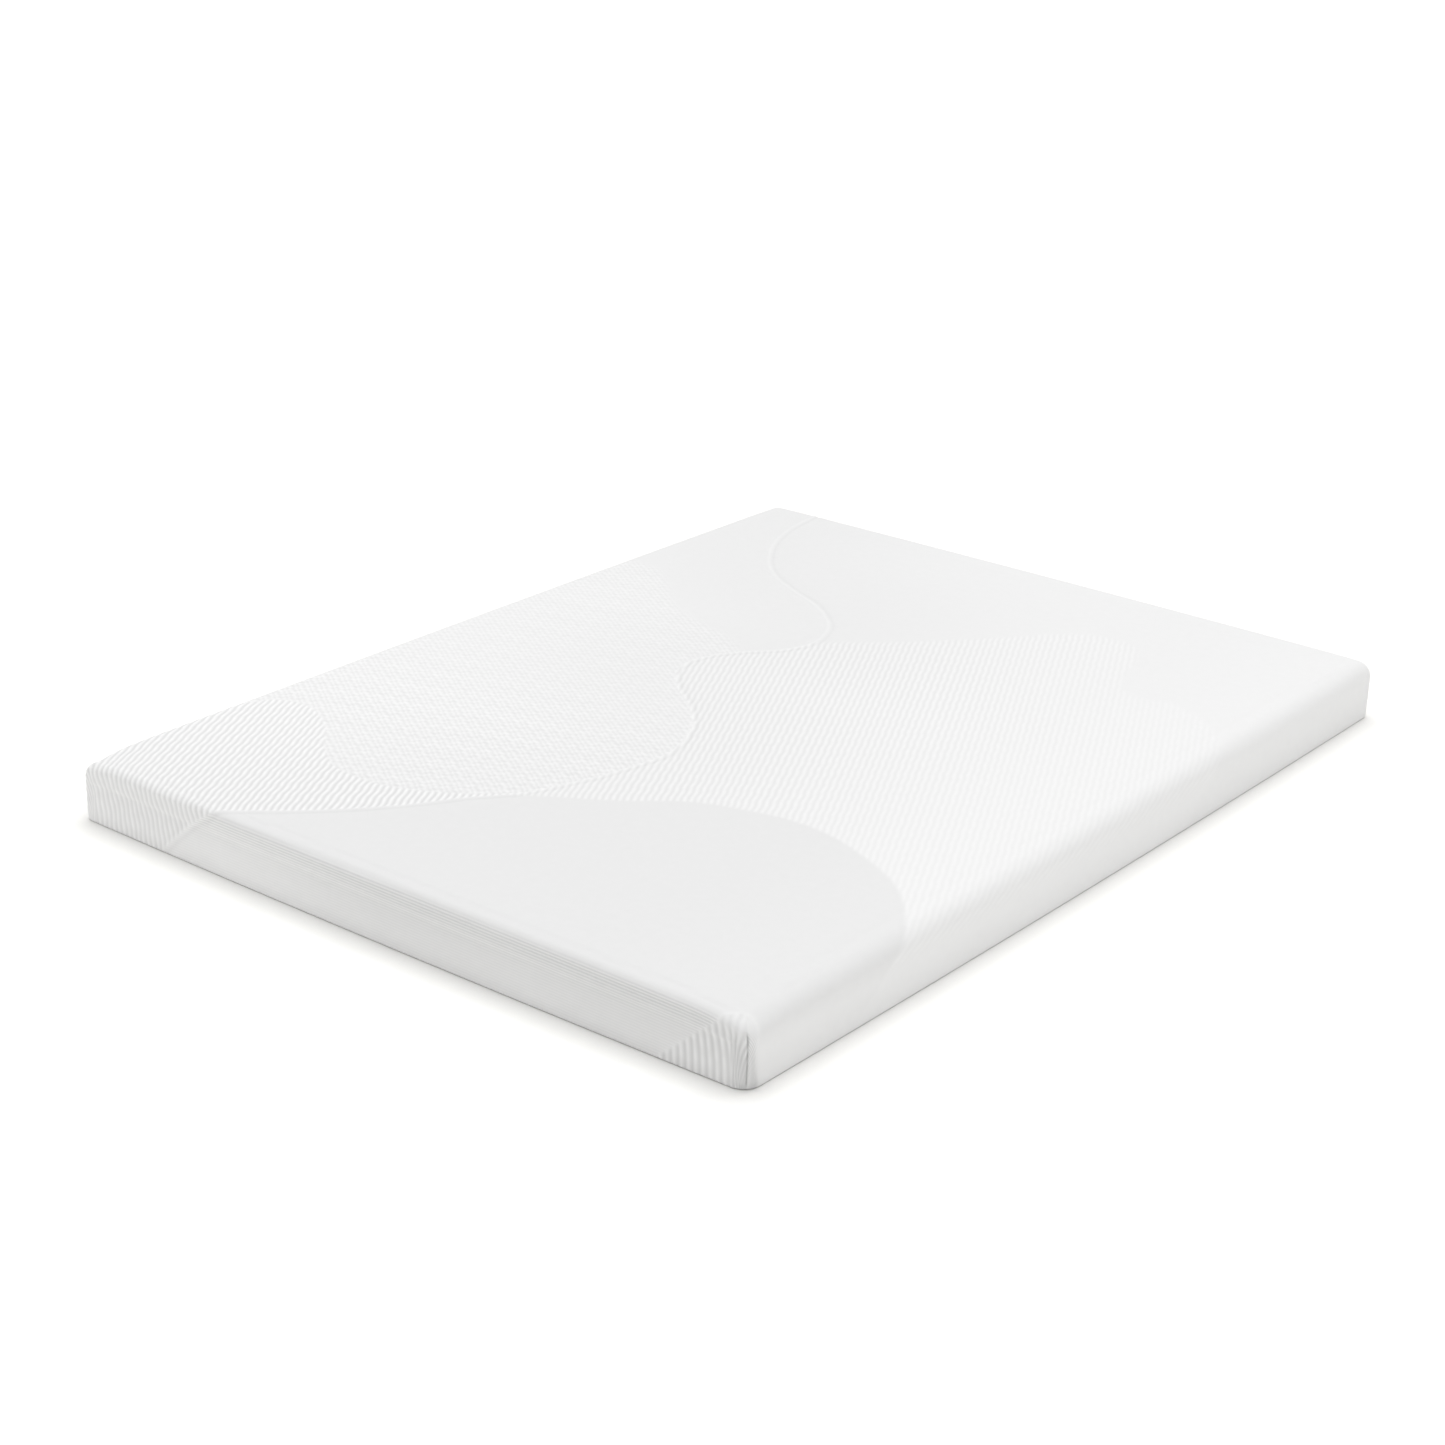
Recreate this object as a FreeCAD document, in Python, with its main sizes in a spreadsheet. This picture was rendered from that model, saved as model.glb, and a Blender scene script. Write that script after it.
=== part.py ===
import FreeCAD, Part
import math
import os
import Sketcher

# Thin memory foam mattress, queen plan, in millimetres.
# Frame: X across the width, Y along the length, Z up, origin at the middle of the underside.
# A knitted cover, sewn at its four upright corners, holds a fire sock around two bonded foams.
# A base cloth closes it below, and a straight zip opens it along the wall at the +Y end.

doc = FreeCAD.newDocument("mattress")
sheet = doc.addObject("Spreadsheet::Sheet", "dims")

# Driving dimensions: alias, value.
DIMENSIONS = [
    # whole mattress
    ("width", 1524),
    ("length", 2032),
    ("height", 120),
    ("bow", 7),  # how far each side swells out between its corners
    # cover
    ("cover_thick", 3),
    ("cover_corner", 19),  # radius of the upright corners
    ("cover_round", 18),  # radius along the top edges
    ("under_round", 8),  # radius along the bottom edges
    ("base_inset", 14),  # how far the walls turn under before the base cloth starts
    ("base_thick", 1.6),
    ("seam_wide", 6),
    ("corner_allowance", 6),  # sewn cloth standing inwards at each upright corner
    ("corner_allowance_thick", 1.6),
    ("corner_seam_low", 22),
    ("corner_seam_top", 98),
    # filling
    ("slack", 0.2),  # clearance between one layer and the next
    ("sock_thick", 0.8),
    ("filling_corner", 34),  # the cover draws the foam's corners round
    ("filling_round", 32),
    ("filling_under_round", 6),
    ("comfort_thick", 38),
    ("glue_thick", 0.4),
    # zip
    ("zip_level", 23),  # height of the line where the two rows meet
    ("zip_depth", 13.4),  # from the fullest point of the end wall to the face of the tapes
    ("zip_travel", 1352),
    ("trough_half", 706),  # half length of the slit in the wall
    ("trough_tall", 20),
    ("tape_half", 712),
    ("tape_thick", 0.6),
    ("row_gap", 1.6),  # between the two rows, where the slider's bridge runs
    ("row_wide", 2.8),
    ("row_deep", 2.4),
    ("stop_long", 4),
    ("stop_gap", 0.6),  # left between the slider and a stop
    ("groove_margin", 1),  # room round the trough's lips
    ("groove_room", 0.4),  # between the slider's back plate and the filling
    # slider
    ("slider_long", 12),
    ("slider_narrow", 10.4),
    ("slider_wide", 12.6),
    ("plate_thick", 1.2),
    ("slider_play", 0.4),  # between the slider and the rows or tapes
    ("bridge_thick", 0.9),
    ("bridge_long", 4),
    ("bail_wide", 3),
    ("bail_long", 8),
    ("bail_bar", 1.0),
    ("bail_clear", 2.8),  # height of the eye under the bail
    # pull tab
    ("tab_long", 26),
    ("tab_wide", 8),
    ("tab_thick", 1.0),
    ("tab_bar", 1.6),  # diameter of the crossbar that turns in the eye
    ("tab_window", 5.2),
    ("tab_slot_long", 7),
    ("tab_slot_wide", 2.6),
    # label
    ("label_long", 90),
    ("label_tall", 60),
    ("label_thick", 0.4),
    ("label_low", 30),
    ("label_along", 700),
    ("label_gap", 0.1),
]
for line, (alias, value) in enumerate(DIMENSIONS, start=1):
    sheet.set(f"A{line}", alias)
    sheet.set(f"B{line}", str(value))
    sheet.setAlias(f"B{line}", alias)
doc.recompute()

UP = FreeCAD.Vector(0, 0, 1)
PAST = 1  # how far a cutting shape reaches past what it cuts
EDGE_TOLERANCE = 0.01  # for finding an edge by its place
SHOULDER_SHARE = 0.9  # of the plate's thickness, for the radius of the slider's corners
END_SHARE = 0.45  # of a width, for the two radii that round off its end


def value_of(expression):
    """The number that an expression over the sheet gives now."""
    return float(sheet.evalExpression(expression))


def origin_plane(body, role):
    """One of a body's own origin planes."""
    return next(item for item in body.Origin.OriginFeatures if item.Role == role)


def sketch_on(body, role, name, offset):
    """An empty sketch parallel to one of the body's origin planes, at an offset along its normal."""
    sketch = body.newObject("Sketcher::SketchObject", name)
    sketch.AttachmentSupport = [(origin_plane(body, role), "")]
    sketch.MapMode = "FlatFace"
    sketch.setExpression("AttachmentOffset.Base.z", offset)
    return sketch


def body_named(name):
    body = doc.addObject("PartDesign::Body", name)
    body.Label = name
    return body


def pad(body, sketch, name, long):
    feature = body.newObject("PartDesign::Pad", name)
    feature.Profile = sketch
    feature.setExpression("Length", long)
    sketch.Visibility = False
    return feature


def fillet(body, base, name, edges, radius):
    """Round the named edges of a feature."""
    doc.recompute()
    feature = body.newObject("PartDesign::Fillet", name)
    feature.Base = (base, edges)
    feature.setExpression("Radius", radius)
    doc.recompute()
    return feature


def upright_edges(feature):
    doc.recompute()
    found = []
    for number, edge in enumerate(feature.Shape.Edges, start=1):
        ends = [vertex.Point for vertex in edge.Vertexes]
        if len(ends) == 2 and (ends[1] - ends[0]).cross(UP).Length < 1e-6:
            found.append(f"Edge{number}")
    return found


def edges_at_height(feature, level):
    found = []
    for number, edge in enumerate(feature.Shape.Edges, start=1):
        box = edge.BoundBox
        if abs(box.ZMin - level) < 1e-4 and abs(box.ZMax - level) < 1e-4:
            found.append(f"Edge{number}")
    return found


def bowed_outline(sketch, inset):
    """The plan outline: four long arcs that meet at the corners, drawn in by an inset."""
    half_x = f"dims.width / 2 - dims.bow - ({inset})"
    half_y = f"dims.length / 2 - dims.bow - ({inset})"
    x = value_of(half_x)
    y = value_of(half_y)
    bow = value_of("dims.bow")
    corners = [(x, -y), (x, y), (-x, y), (-x, -y)]
    fullest = [(x + bow, 0), (0, y + bow), (-x - bow, 0), (0, -y - bow)]
    for side in range(4):
        start = FreeCAD.Vector(*corners[side], 0)
        middle = FreeCAD.Vector(*fullest[side], 0)
        end = FreeCAD.Vector(*corners[(side + 1) % 4], 0)
        sketch.addGeometry(Part.Arc(start, middle, end), False)
    for side in range(4):
        sketch.addConstraint(Sketcher.Constraint("Coincident", side, 2, (side + 1) % 4, 1))
    for side, axis in ((0, -1), (1, -2), (2, -1)):
        sketch.addConstraint(Sketcher.Constraint("Symmetric", side, 1, side, 2, axis))
    sketch.addConstraint(Sketcher.Constraint("Equal", 0, 2))
    sketch.addConstraint(Sketcher.Constraint("Equal", 1, 3))
    named_constraint(sketch, "half_x", half_x, "DistanceX", -1, 1, 0, 2)
    named_constraint(sketch, "half_y", half_y, "DistanceY", -1, 1, 0, 2)
    for name, side, chord in (("side_radius", 0, half_y), ("end_radius", 1, half_x)):
        radius = f"(({chord}) * ({chord}) + dims.bow * dims.bow) / (2 * dims.bow)"
        named_constraint(sketch, name, radius, "Radius", side)


def named_constraint(sketch, name, expression, *definition):
    """A dimension of the sketch, bound to an expression."""
    number = sketch.addConstraint(Sketcher.Constraint(*definition, value_of(expression)))
    sketch.renameConstraint(number, name)
    sketch.setExpression(f"Constraints.{name}", expression)


def block(name, inset, low, high, corner, round_top=None, round_under=None):
    """A solid with the bowed plan outline between two heights, with rounded corners and edges."""
    body = body_named(name)
    outline = sketch_on(body, "XY_Plane", f"{name}_outline", low)
    bowed_outline(outline, inset)
    last = pad(body, outline, f"{name}_pad", f"({high}) - ({low})")
    last = fillet(body, last, f"{name}_corners", upright_edges(last), corner)
    if round_top:
        last = fillet(body, last, f"{name}_top", edges_at_height(last, value_of(high)), round_top)
    if round_under:
        last = fillet(body, last, f"{name}_under", edges_at_height(last, value_of(low)), round_under)
    return body


def box(name, low, high):
    """A Part::Box between two corners, each given as three expressions."""
    item = doc.addObject("Part::Box", name)
    item.Label = name
    for axis, size, start, end in zip("xyz", ("Length", "Width", "Height"), low, high):
        item.setExpression(size, f"({end}) - ({start})")
        item.setExpression(f"Placement.Base.{axis}", start)
    return item


def cut(name, base, tool):
    item = doc.addObject("Part::Cut", name)
    item.Label = name
    item.Base = base
    item.Tool = tool
    return item


def fuse(name, *items):
    item = doc.addObject("Part::MultiFuse", name)
    item.Label = name
    item.Shapes = list(items)
    return item


# ---- places shared by several pieces

CAVITY_LOW = "dims.cover_thick"
CAVITY_HIGH = "dims.height - dims.cover_thick"
SOCK_INSET = "dims.cover_thick + dims.slack"
SOCK_LOW = "dims.cover_thick + dims.slack"
SOCK_HIGH = "dims.height - dims.cover_thick - dims.slack"
FOAM_INSET = "dims.cover_thick + 2 * dims.slack + dims.sock_thick"
FOAM_LOW = "dims.cover_thick + 2 * dims.slack + dims.sock_thick"
FOAM_HIGH = "dims.height - dims.cover_thick - 2 * dims.slack - dims.sock_thick"
GLUE_HIGH = f"{FOAM_HIGH} - dims.comfort_thick"
GLUE_LOW = f"{GLUE_HIGH} - dims.glue_thick"
TAPE_FACE = "dims.length / 2 - dims.zip_depth"
TROUGH_LOW = "dims.zip_level - dims.trough_tall / 2"
TROUGH_HIGH = "dims.zip_level + dims.trough_tall / 2"
ROW_HALF = "dims.zip_travel / 2 + dims.slider_long / 2 + dims.stop_gap"
BASE_CORNER = "dims.cover_corner / 2"


# ---- filling


def grooved(name, solid, clearance):
    """Cut the hollow that the zip and the trough's lips press into the +Y end of a layer."""
    margin = f"dims.cover_thick + dims.groove_margin + ({clearance})"
    low = (
        f"-dims.tape_half - dims.cover_thick - ({clearance})",
        f"{TAPE_FACE} - dims.tape_thick - dims.plate_thick - 2 * dims.slider_play"
        f" - dims.groove_room - ({clearance})",
        f"{TROUGH_LOW} - ({margin})",
    )
    high = (
        f"dims.tape_half + dims.cover_thick + ({clearance})",
        f"dims.length / 2 + {PAST}",
        f"{TROUGH_HIGH} + {margin}",
    )
    return cut(name, solid, box(f"{name}_groove", low, high))


def fire_sock():
    """A thin closed sleeve all round the foam."""
    outside = block(
        "sock_outside",
        SOCK_INSET,
        SOCK_LOW,
        SOCK_HIGH,
        "dims.filling_corner",
        "dims.filling_round",
        "dims.filling_under_round",
    )
    inside = block(
        "sock_inside",
        f"{SOCK_INSET} + dims.sock_thick",
        f"{SOCK_LOW} + dims.sock_thick",
        f"{SOCK_HIGH} - dims.sock_thick",
        "dims.filling_corner - dims.sock_thick",
        "dims.filling_round - dims.sock_thick",
        "dims.filling_under_round - dims.sock_thick",
    )
    skin = grooved("sock_skin", outside, "0")
    core = grooved("sock_core", inside, "dims.sock_thick")
    return cut("fire_sock", skin, core)


def foams():
    """The memory foam above, the support foam below and the adhesive that bonds them."""
    corner = "dims.filling_corner - dims.sock_thick - dims.slack"
    comfort = block(
        "comfort_foam",
        FOAM_INSET,
        GLUE_HIGH,
        FOAM_HIGH,
        corner,
        round_top="dims.filling_round - dims.sock_thick - dims.slack",
    )
    glue = block("adhesive_layer", FOAM_INSET, GLUE_LOW, GLUE_HIGH, corner)
    support = block(
        "support_foam_block",
        FOAM_INSET,
        FOAM_LOW,
        GLUE_LOW,
        corner,
        round_under="dims.filling_under_round - dims.sock_thick - dims.slack",
    )
    return [comfort, glue, grooved("support_foam", support, "dims.sock_thick + dims.slack")]


# ---- cover


def cover_top():
    """The knit: top and four walls in one, turned under below, with a slit for the zip at +Y."""
    outside = block(
        "cover_outside",
        "0",
        "0",
        "dims.height",
        "dims.cover_corner",
        "dims.cover_round",
        "dims.under_round",
    )
    cavity = block(
        "cover_cavity",
        "dims.cover_thick",
        CAVITY_LOW,
        CAVITY_HIGH,
        "dims.cover_corner - dims.cover_thick",
        "dims.cover_round - dims.cover_thick",
        "dims.under_round - dims.cover_thick",
    )
    opening = block(
        "cover_opening", "dims.base_inset", f"-{PAST}", f"{CAVITY_LOW} + {PAST}", BASE_CORNER
    )
    shell = cut("cover_shell", cut("cover_hollow", outside, cavity), opening)
    lips = box(
        "zip_lips_box",
        ("-dims.trough_half - dims.cover_thick", TAPE_FACE, f"{TROUGH_LOW} - dims.cover_thick"),
        ("dims.trough_half + dims.cover_thick", "dims.length / 2", f"{TROUGH_HIGH} + dims.cover_thick"),
    )
    # The cloth's edges turn inwards from the bowed wall to the straight tapes.
    turned_in = doc.addObject("Part::Common", "zip_lips")
    turned_in.Base = lips
    turned_in.Tool = outside
    slit = box(
        "zip_slit",
        ("-dims.trough_half", f"{TAPE_FACE} - {PAST}", TROUGH_LOW),
        ("dims.trough_half", f"dims.length / 2 + {PAST}", TROUGH_HIGH),
    )
    return cut("cover_top", fuse("cover_with_lips", shell, turned_in), slit)


def base_panel():
    return block("base_panel", "dims.base_inset", "0", "dims.base_thick", BASE_CORNER)


def base_seam():
    """The overlocked ring that joins the walls to the base cloth, lying on the base cloth."""
    outer = block("seam_outer", "dims.base_inset", "dims.base_thick", "dims.cover_thick", BASE_CORNER)
    inner = block(
        "seam_inner",
        "dims.base_inset + dims.seam_wide",
        f"dims.base_thick - {PAST}",
        f"dims.cover_thick + {PAST}",
        BASE_CORNER,
    )
    return cut("base_seam", outer, inner)


def corner_seam(name, side_x, side_y):
    """At an upright corner, the sewn edges of the knit stand inwards along the diagonal."""
    inward = "(dims.cover_corner - dims.cover_thick) * (1 - sqrt(0.5)) + dims.slack"
    seam = doc.addObject("Part::Box", name)
    seam.Label = name
    seam.setExpression("Length", "dims.corner_allowance")
    seam.setExpression("Width", "dims.corner_allowance_thick")
    seam.setExpression("Height", "dims.corner_seam_top - dims.corner_seam_low")
    turn = math.atan2(-side_y, -side_x)
    seam.setExpression("Placement.Rotation.Angle", str(math.degrees(turn)))
    # Half the thickness sideways, so that the strip straddles the diagonal.
    aside = {"x": math.sin(turn) / 2, "y": -math.cos(turn) / 2}
    for axis, side, span in (("x", side_x, "dims.width"), ("y", side_y, "dims.length")):
        corner = f"{span} / 2 - dims.bow - dims.cover_thick - ({inward})"
        shift = f"({aside[axis]}) * dims.corner_allowance_thick"
        seam.setExpression(f"Placement.Base.{axis}", f"{side} * ({corner}) + {shift}")
    seam.setExpression("Placement.Base.z", "dims.corner_seam_low")
    return seam


def care_label():
    """A blank label sewn flat to the wall at -X, turned to lie along its bow."""
    chord = "(dims.length / 2 - dims.bow)"
    radius = f"(({chord} * {chord} + dims.bow * dims.bow) / (2 * dims.bow))"
    slope = f"(dims.label_along / {radius})"
    wall = f"(-dims.width / 2 + dims.label_along * {slope} / 2)"
    outside = "(dims.label_gap + dims.label_thick)"
    label = doc.addObject("Part::Box", "care_label")
    label.Label = "care_label"
    label.setExpression("Length", "dims.label_thick")
    label.setExpression("Width", "dims.label_long")
    label.setExpression("Height", "dims.label_tall")
    label.setExpression("Placement.Rotation.Angle", f"-atan({slope})")
    label.setExpression("Placement.Base.x", f"{wall} - {outside} - {slope} * dims.label_long / 2")
    label.setExpression(
        "Placement.Base.y", f"dims.label_along + {slope} * {outside} - dims.label_long / 2"
    )
    label.setExpression("Placement.Base.z", "dims.label_low")
    return label


# ---- zip


def zip_tapes_and_rows():
    """Two tapes behind the turned-in cloth, each with one row of the coil on its face."""
    row_half = f"({ROW_HALF})"
    pieces = []
    for name, side in (("upper", 1), ("lower", -1)):
        inner = f"dims.zip_level + {side} * dims.row_gap / 2"
        tape_outer = f"dims.zip_level + {side} * (dims.trough_tall / 2 + dims.cover_thick)"
        row_outer = f"{inner} + {side} * dims.row_wide"
        tape_low, tape_high = (inner, tape_outer) if side > 0 else (tape_outer, inner)
        row_low, row_high = (inner, row_outer) if side > 0 else (row_outer, inner)
        tape = box(
            f"zip_tape_{name}",
            ("-dims.tape_half", f"{TAPE_FACE} - dims.tape_thick", tape_low),
            ("dims.tape_half", TAPE_FACE, tape_high),
        )
        row = box(
            f"zip_coil_{name}",
            (f"-{row_half}", TAPE_FACE, row_low),
            (row_half, f"{TAPE_FACE} + dims.row_deep", row_high),
        )
        pieces += [tape, row]
    return pieces


def zip_stops():
    """A stop on each row where the zip closes, and one across both rows at the other end."""
    front = f"{TAPE_FACE} + dims.row_deep"
    reach = "(dims.row_gap / 2 + dims.row_wide)"
    closed = (f"-({ROW_HALF}) - dims.stop_long", f"-({ROW_HALF})")
    tops = []
    for name, low, high in (
        ("upper", "dims.zip_level + dims.row_gap / 2", f"dims.zip_level + {reach}"),
        ("lower", f"dims.zip_level - {reach}", "dims.zip_level - dims.row_gap / 2"),
    ):
        tops.append(box(f"top_stop_{name}", (closed[0], TAPE_FACE, low), (closed[1], front, high)))
    bottom = box(
        "zip_bottom_stop",
        (ROW_HALF, TAPE_FACE, f"dims.zip_level - {reach}"),
        (f"{ROW_HALF} + dims.stop_long", front, f"dims.zip_level + {reach}"),
    )
    return [fuse("zip_top_stops", *tops), bottom]


def polygon(sketch, prefix, points):
    """A closed outline whose every corner is placed by a pair of expressions."""
    first = sketch.GeometryCount
    places = [FreeCAD.Vector(value_of(x), value_of(y), 0) for x, y in points]
    count = len(points)
    for number in range(count):
        sketch.addGeometry(Part.LineSegment(places[number], places[(number + 1) % count]), False)
    for number in range(count):
        line = first + number
        following = first + (number + 1) % count
        sketch.addConstraint(Sketcher.Constraint("Coincident", line, 2, following, 1))
        x, y = points[number]
        named_constraint(sketch, f"{prefix}_x{number}", x, "DistanceX", -1, 1, line, 1)
        named_constraint(sketch, f"{prefix}_y{number}", y, "DistanceY", -1, 1, line, 1)


def rectangle(left, right, low, high):
    return [(left, low), (right, low), (right, high), (left, high)]


def slab(body, name, outlines, back, front):
    """Pad outlines drawn in X and Z between two places along Y."""
    sketch = sketch_on(body, "XZ_Plane", f"{name}_sketch", f"-({front})")
    for number, points in enumerate(outlines):
        polygon(sketch, f"{name}{number}", points)
    return pad(body, sketch, name, f"({front}) - ({back})")


def through_pocket(body, name, points, deep):
    """Cut an outline drawn in X and Z right through, half to each side of the XZ plane."""
    sketch = sketch_on(body, "XZ_Plane", f"{name}_sketch", "0")
    polygon(sketch, name, points)
    feature = body.newObject("PartDesign::Pocket", name)
    feature.Profile = sketch
    feature.Midplane = True
    feature.setExpression("Length", deep)
    return feature


def edges_along_y(feature, test):
    """The straight edges parallel to Y whose middle passes a test."""
    doc.recompute()
    along = FreeCAD.Vector(0, 1, 0)
    found = []
    for number, edge in enumerate(feature.Shape.Edges, start=1):
        ends = [vertex.Point for vertex in edge.Vertexes]
        if len(ends) == 2 and (ends[1] - ends[0]).cross(along).Length < 1e-6:
            if test((ends[0] + ends[1]) / 2):
                found.append(f"Edge{number}")
    return found


def zip_slider_body():
    """Two plates joined by a bridge between the rows, with side flanges and a bail in front."""
    body = body_named("zip_slider_body")
    half = "dims.slider_long / 2"
    narrow = "dims.slider_narrow / 2"
    wide = "dims.slider_wide / 2"
    plate = [(f"-{half}", f"-{wide}"), (half, f"-{narrow}"), (half, narrow), (f"-{half}", wide)]
    back_inside = "-dims.tape_thick - dims.slider_play"
    front_inside = "dims.row_deep + dims.slider_play"
    front_outside = f"{front_inside} + dims.plate_thick"
    bail_top = f"{front_outside} + dims.bail_clear + dims.bail_bar"
    bridge_start = f"-{half} + dims.bridge_thick"
    slab(body, "back_plate", [plate], f"{back_inside} - dims.plate_thick", back_inside)
    bridge = rectangle(
        bridge_start,
        f"{bridge_start} + dims.bridge_long",
        "-dims.bridge_thick / 2",
        "dims.bridge_thick / 2",
    )
    slab(body, "bridge", [bridge], back_inside, front_inside)
    slab(body, "front_plate", [plate], front_inside, front_outside)
    flange = "dims.row_gap / 2 + dims.row_wide + dims.slider_play"
    flange_half = "(dims.slider_long / 2 - dims.plate_thick)"
    flanges = [
        rectangle(f"-{flange_half}", flange_half, flange, narrow),
        rectangle(f"-{flange_half}", flange_half, f"-{narrow}", f"-({flange})"),
    ]
    slab(body, "flanges", flanges, "dims.slider_play", front_inside)
    eye = "(dims.bail_long / 2 - dims.bail_bar)"
    feet = [
        rectangle(f"-{eye} - dims.bail_bar", f"-{eye}", "-dims.bail_wide / 2", "dims.bail_wide / 2"),
        rectangle(eye, f"{eye} + dims.bail_bar", "-dims.bail_wide / 2", "dims.bail_wide / 2"),
    ]
    slab(body, "bail_feet", feet, front_outside, bail_top)
    beam = rectangle(
        f"-{eye} - dims.bail_bar", f"{eye} + dims.bail_bar", "-dims.bail_wide / 2", "dims.bail_wide / 2"
    )
    last = slab(body, "bail_beam", [beam], f"{bail_top} - dims.bail_bar", bail_top)
    end = value_of("dims.slider_long / 2") - EDGE_TOLERANCE
    shoulder = value_of("dims.slider_narrow / 2") - EDGE_TOLERANCE
    corners = edges_along_y(last, lambda point: abs(point.x) > end and abs(point.z) > shoulder)
    fillet(body, last, "shoulders", corners, f"dims.plate_thick * {SHOULDER_SHARE}")
    place_on_zip(body, "0")
    return body


def zip_pull_tab():
    """A flat tab whose crossbar turns in the eye under the bail. Its origin is the crossbar's axis."""
    body = body_named("zip_pull_tab")
    half_thick = "dims.tab_thick / 2"
    outline = rectangle("-dims.tab_bar / 2", "dims.tab_long", "-dims.tab_wide / 2", "dims.tab_wide / 2")
    slab(body, "tab_plate", [outline], f"-{half_thick}", half_thick)
    window_half = "dims.bail_wide / 2 + dims.slider_play"
    window = rectangle(
        "dims.tab_bar / 2", "dims.tab_bar / 2 + dims.tab_window", f"-({window_half})", window_half
    )
    through_pocket(body, "tab_window_cut", window, "4 * dims.tab_thick")
    slot_end = "dims.tab_long - dims.tab_wide / 2"
    slot = rectangle(
        f"{slot_end} - dims.tab_slot_long", slot_end, "-dims.tab_slot_wide / 2", "dims.tab_slot_wide / 2"
    )
    slotted = through_pocket(body, "tab_slot_cut", slot, "4 * dims.tab_thick")
    far = value_of("dims.tab_long") - EDGE_TOLERANCE
    end_edges = edges_along_y(slotted, lambda point: point.x > far)
    rounded = fillet(body, slotted, "tab_end", end_edges, f"dims.tab_wide * {END_SHARE}")
    slot_half = value_of("dims.tab_slot_wide / 2") + EDGE_TOLERANCE
    slot_edges = edges_along_y(rounded, lambda point: abs(point.z) < slot_half and point.x < far)
    fillet(body, rounded, "slot_ends", slot_edges, f"dims.tab_slot_wide * {END_SHARE}")
    circle = sketch_on(body, "XY_Plane", "crossbar_sketch", "0")
    bar_radius = value_of("dims.tab_bar / 2")
    circle.addGeometry(Part.Circle(FreeCAD.Vector(0, 0, 0), UP, bar_radius), False)
    circle.addConstraint(Sketcher.Constraint("Coincident", 0, 3, -1, 1))
    named_constraint(circle, "bar_radius", "dims.tab_bar / 2", "Radius", 0)
    crossbar = pad(body, circle, "crossbar", "dims.tab_wide - 2 * dims.bridge_thick")
    crossbar.Midplane = True
    axis = "dims.row_deep + dims.slider_play + dims.plate_thick + dims.bail_clear / 2"
    place_on_zip(body, axis)
    return body


def place_on_zip(body, forward):
    """Place a piece drawn about the slider's middle at the closed end of the zip."""
    body.setExpression("Placement.Base.x", "-dims.zip_travel / 2")
    body.setExpression("Placement.Base.y", f"{TAPE_FACE} + {forward}")
    body.setExpression("Placement.Base.z", "dims.zip_level")


# ---- build, test and write


def check_document():
    for item in doc.Objects:
        failed = [state for state in item.State if state in ("Invalid", "Error")]
        if failed:
            raise RuntimeError(f"{item.Label}: {failed}")


def write(pieces):
    os.makedirs("parts", exist_ok=True)
    for piece in pieces:
        shape = piece.Shape
        if shape.isNull() or not shape.isValid() or not shape.Solids:
            raise RuntimeError(f"{piece.Label} has no valid solid")
        shape.exportStep(f"parts/{piece.Label}.step")
        size = shape.BoundBox
        print(
            f"{piece.Label:26s} {len(shape.Solids)} solid(s) {shape.Volume / 1000:12.3f} cm3"
            f"  x {size.XMin:8.2f} {size.XMax:8.2f}  y {size.YMin:8.2f} {size.YMax:8.2f}"
            f"  z {size.ZMin:7.2f} {size.ZMax:7.2f}"
        )


PIECES = [
    cover_top(),
    corner_seam("corner_seam_front_right", 1, -1),
    corner_seam("corner_seam_front_left", -1, -1),
    corner_seam("corner_seam_back_right", 1, 1),
    corner_seam("corner_seam_back_left", -1, 1),
    base_panel(),
    base_seam(),
    care_label(),
    *zip_tapes_and_rows(),
    *zip_stops(),
    zip_slider_body(),
    zip_pull_tab(),
    fire_sock(),
    *foams(),
]
doc.recompute()
check_document()
write(PIECES)
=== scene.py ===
import math

import bpy
import numpy as np
from mathutils import Matrix, Vector


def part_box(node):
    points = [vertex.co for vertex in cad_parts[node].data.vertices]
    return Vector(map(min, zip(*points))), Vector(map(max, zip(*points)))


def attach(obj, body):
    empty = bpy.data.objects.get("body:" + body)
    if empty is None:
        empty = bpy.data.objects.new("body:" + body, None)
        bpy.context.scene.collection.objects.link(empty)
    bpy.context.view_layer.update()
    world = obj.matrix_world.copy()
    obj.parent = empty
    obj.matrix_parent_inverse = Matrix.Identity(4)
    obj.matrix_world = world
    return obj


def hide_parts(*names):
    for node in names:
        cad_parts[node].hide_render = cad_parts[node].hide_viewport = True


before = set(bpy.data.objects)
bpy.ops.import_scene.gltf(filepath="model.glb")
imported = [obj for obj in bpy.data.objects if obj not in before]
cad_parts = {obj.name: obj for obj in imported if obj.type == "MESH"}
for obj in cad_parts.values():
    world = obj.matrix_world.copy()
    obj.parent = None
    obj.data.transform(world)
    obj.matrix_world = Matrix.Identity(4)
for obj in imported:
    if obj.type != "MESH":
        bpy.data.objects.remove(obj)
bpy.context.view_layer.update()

TAU = 2 * math.pi

# ---- sizes of the mattress, all from the frame, in metres

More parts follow.
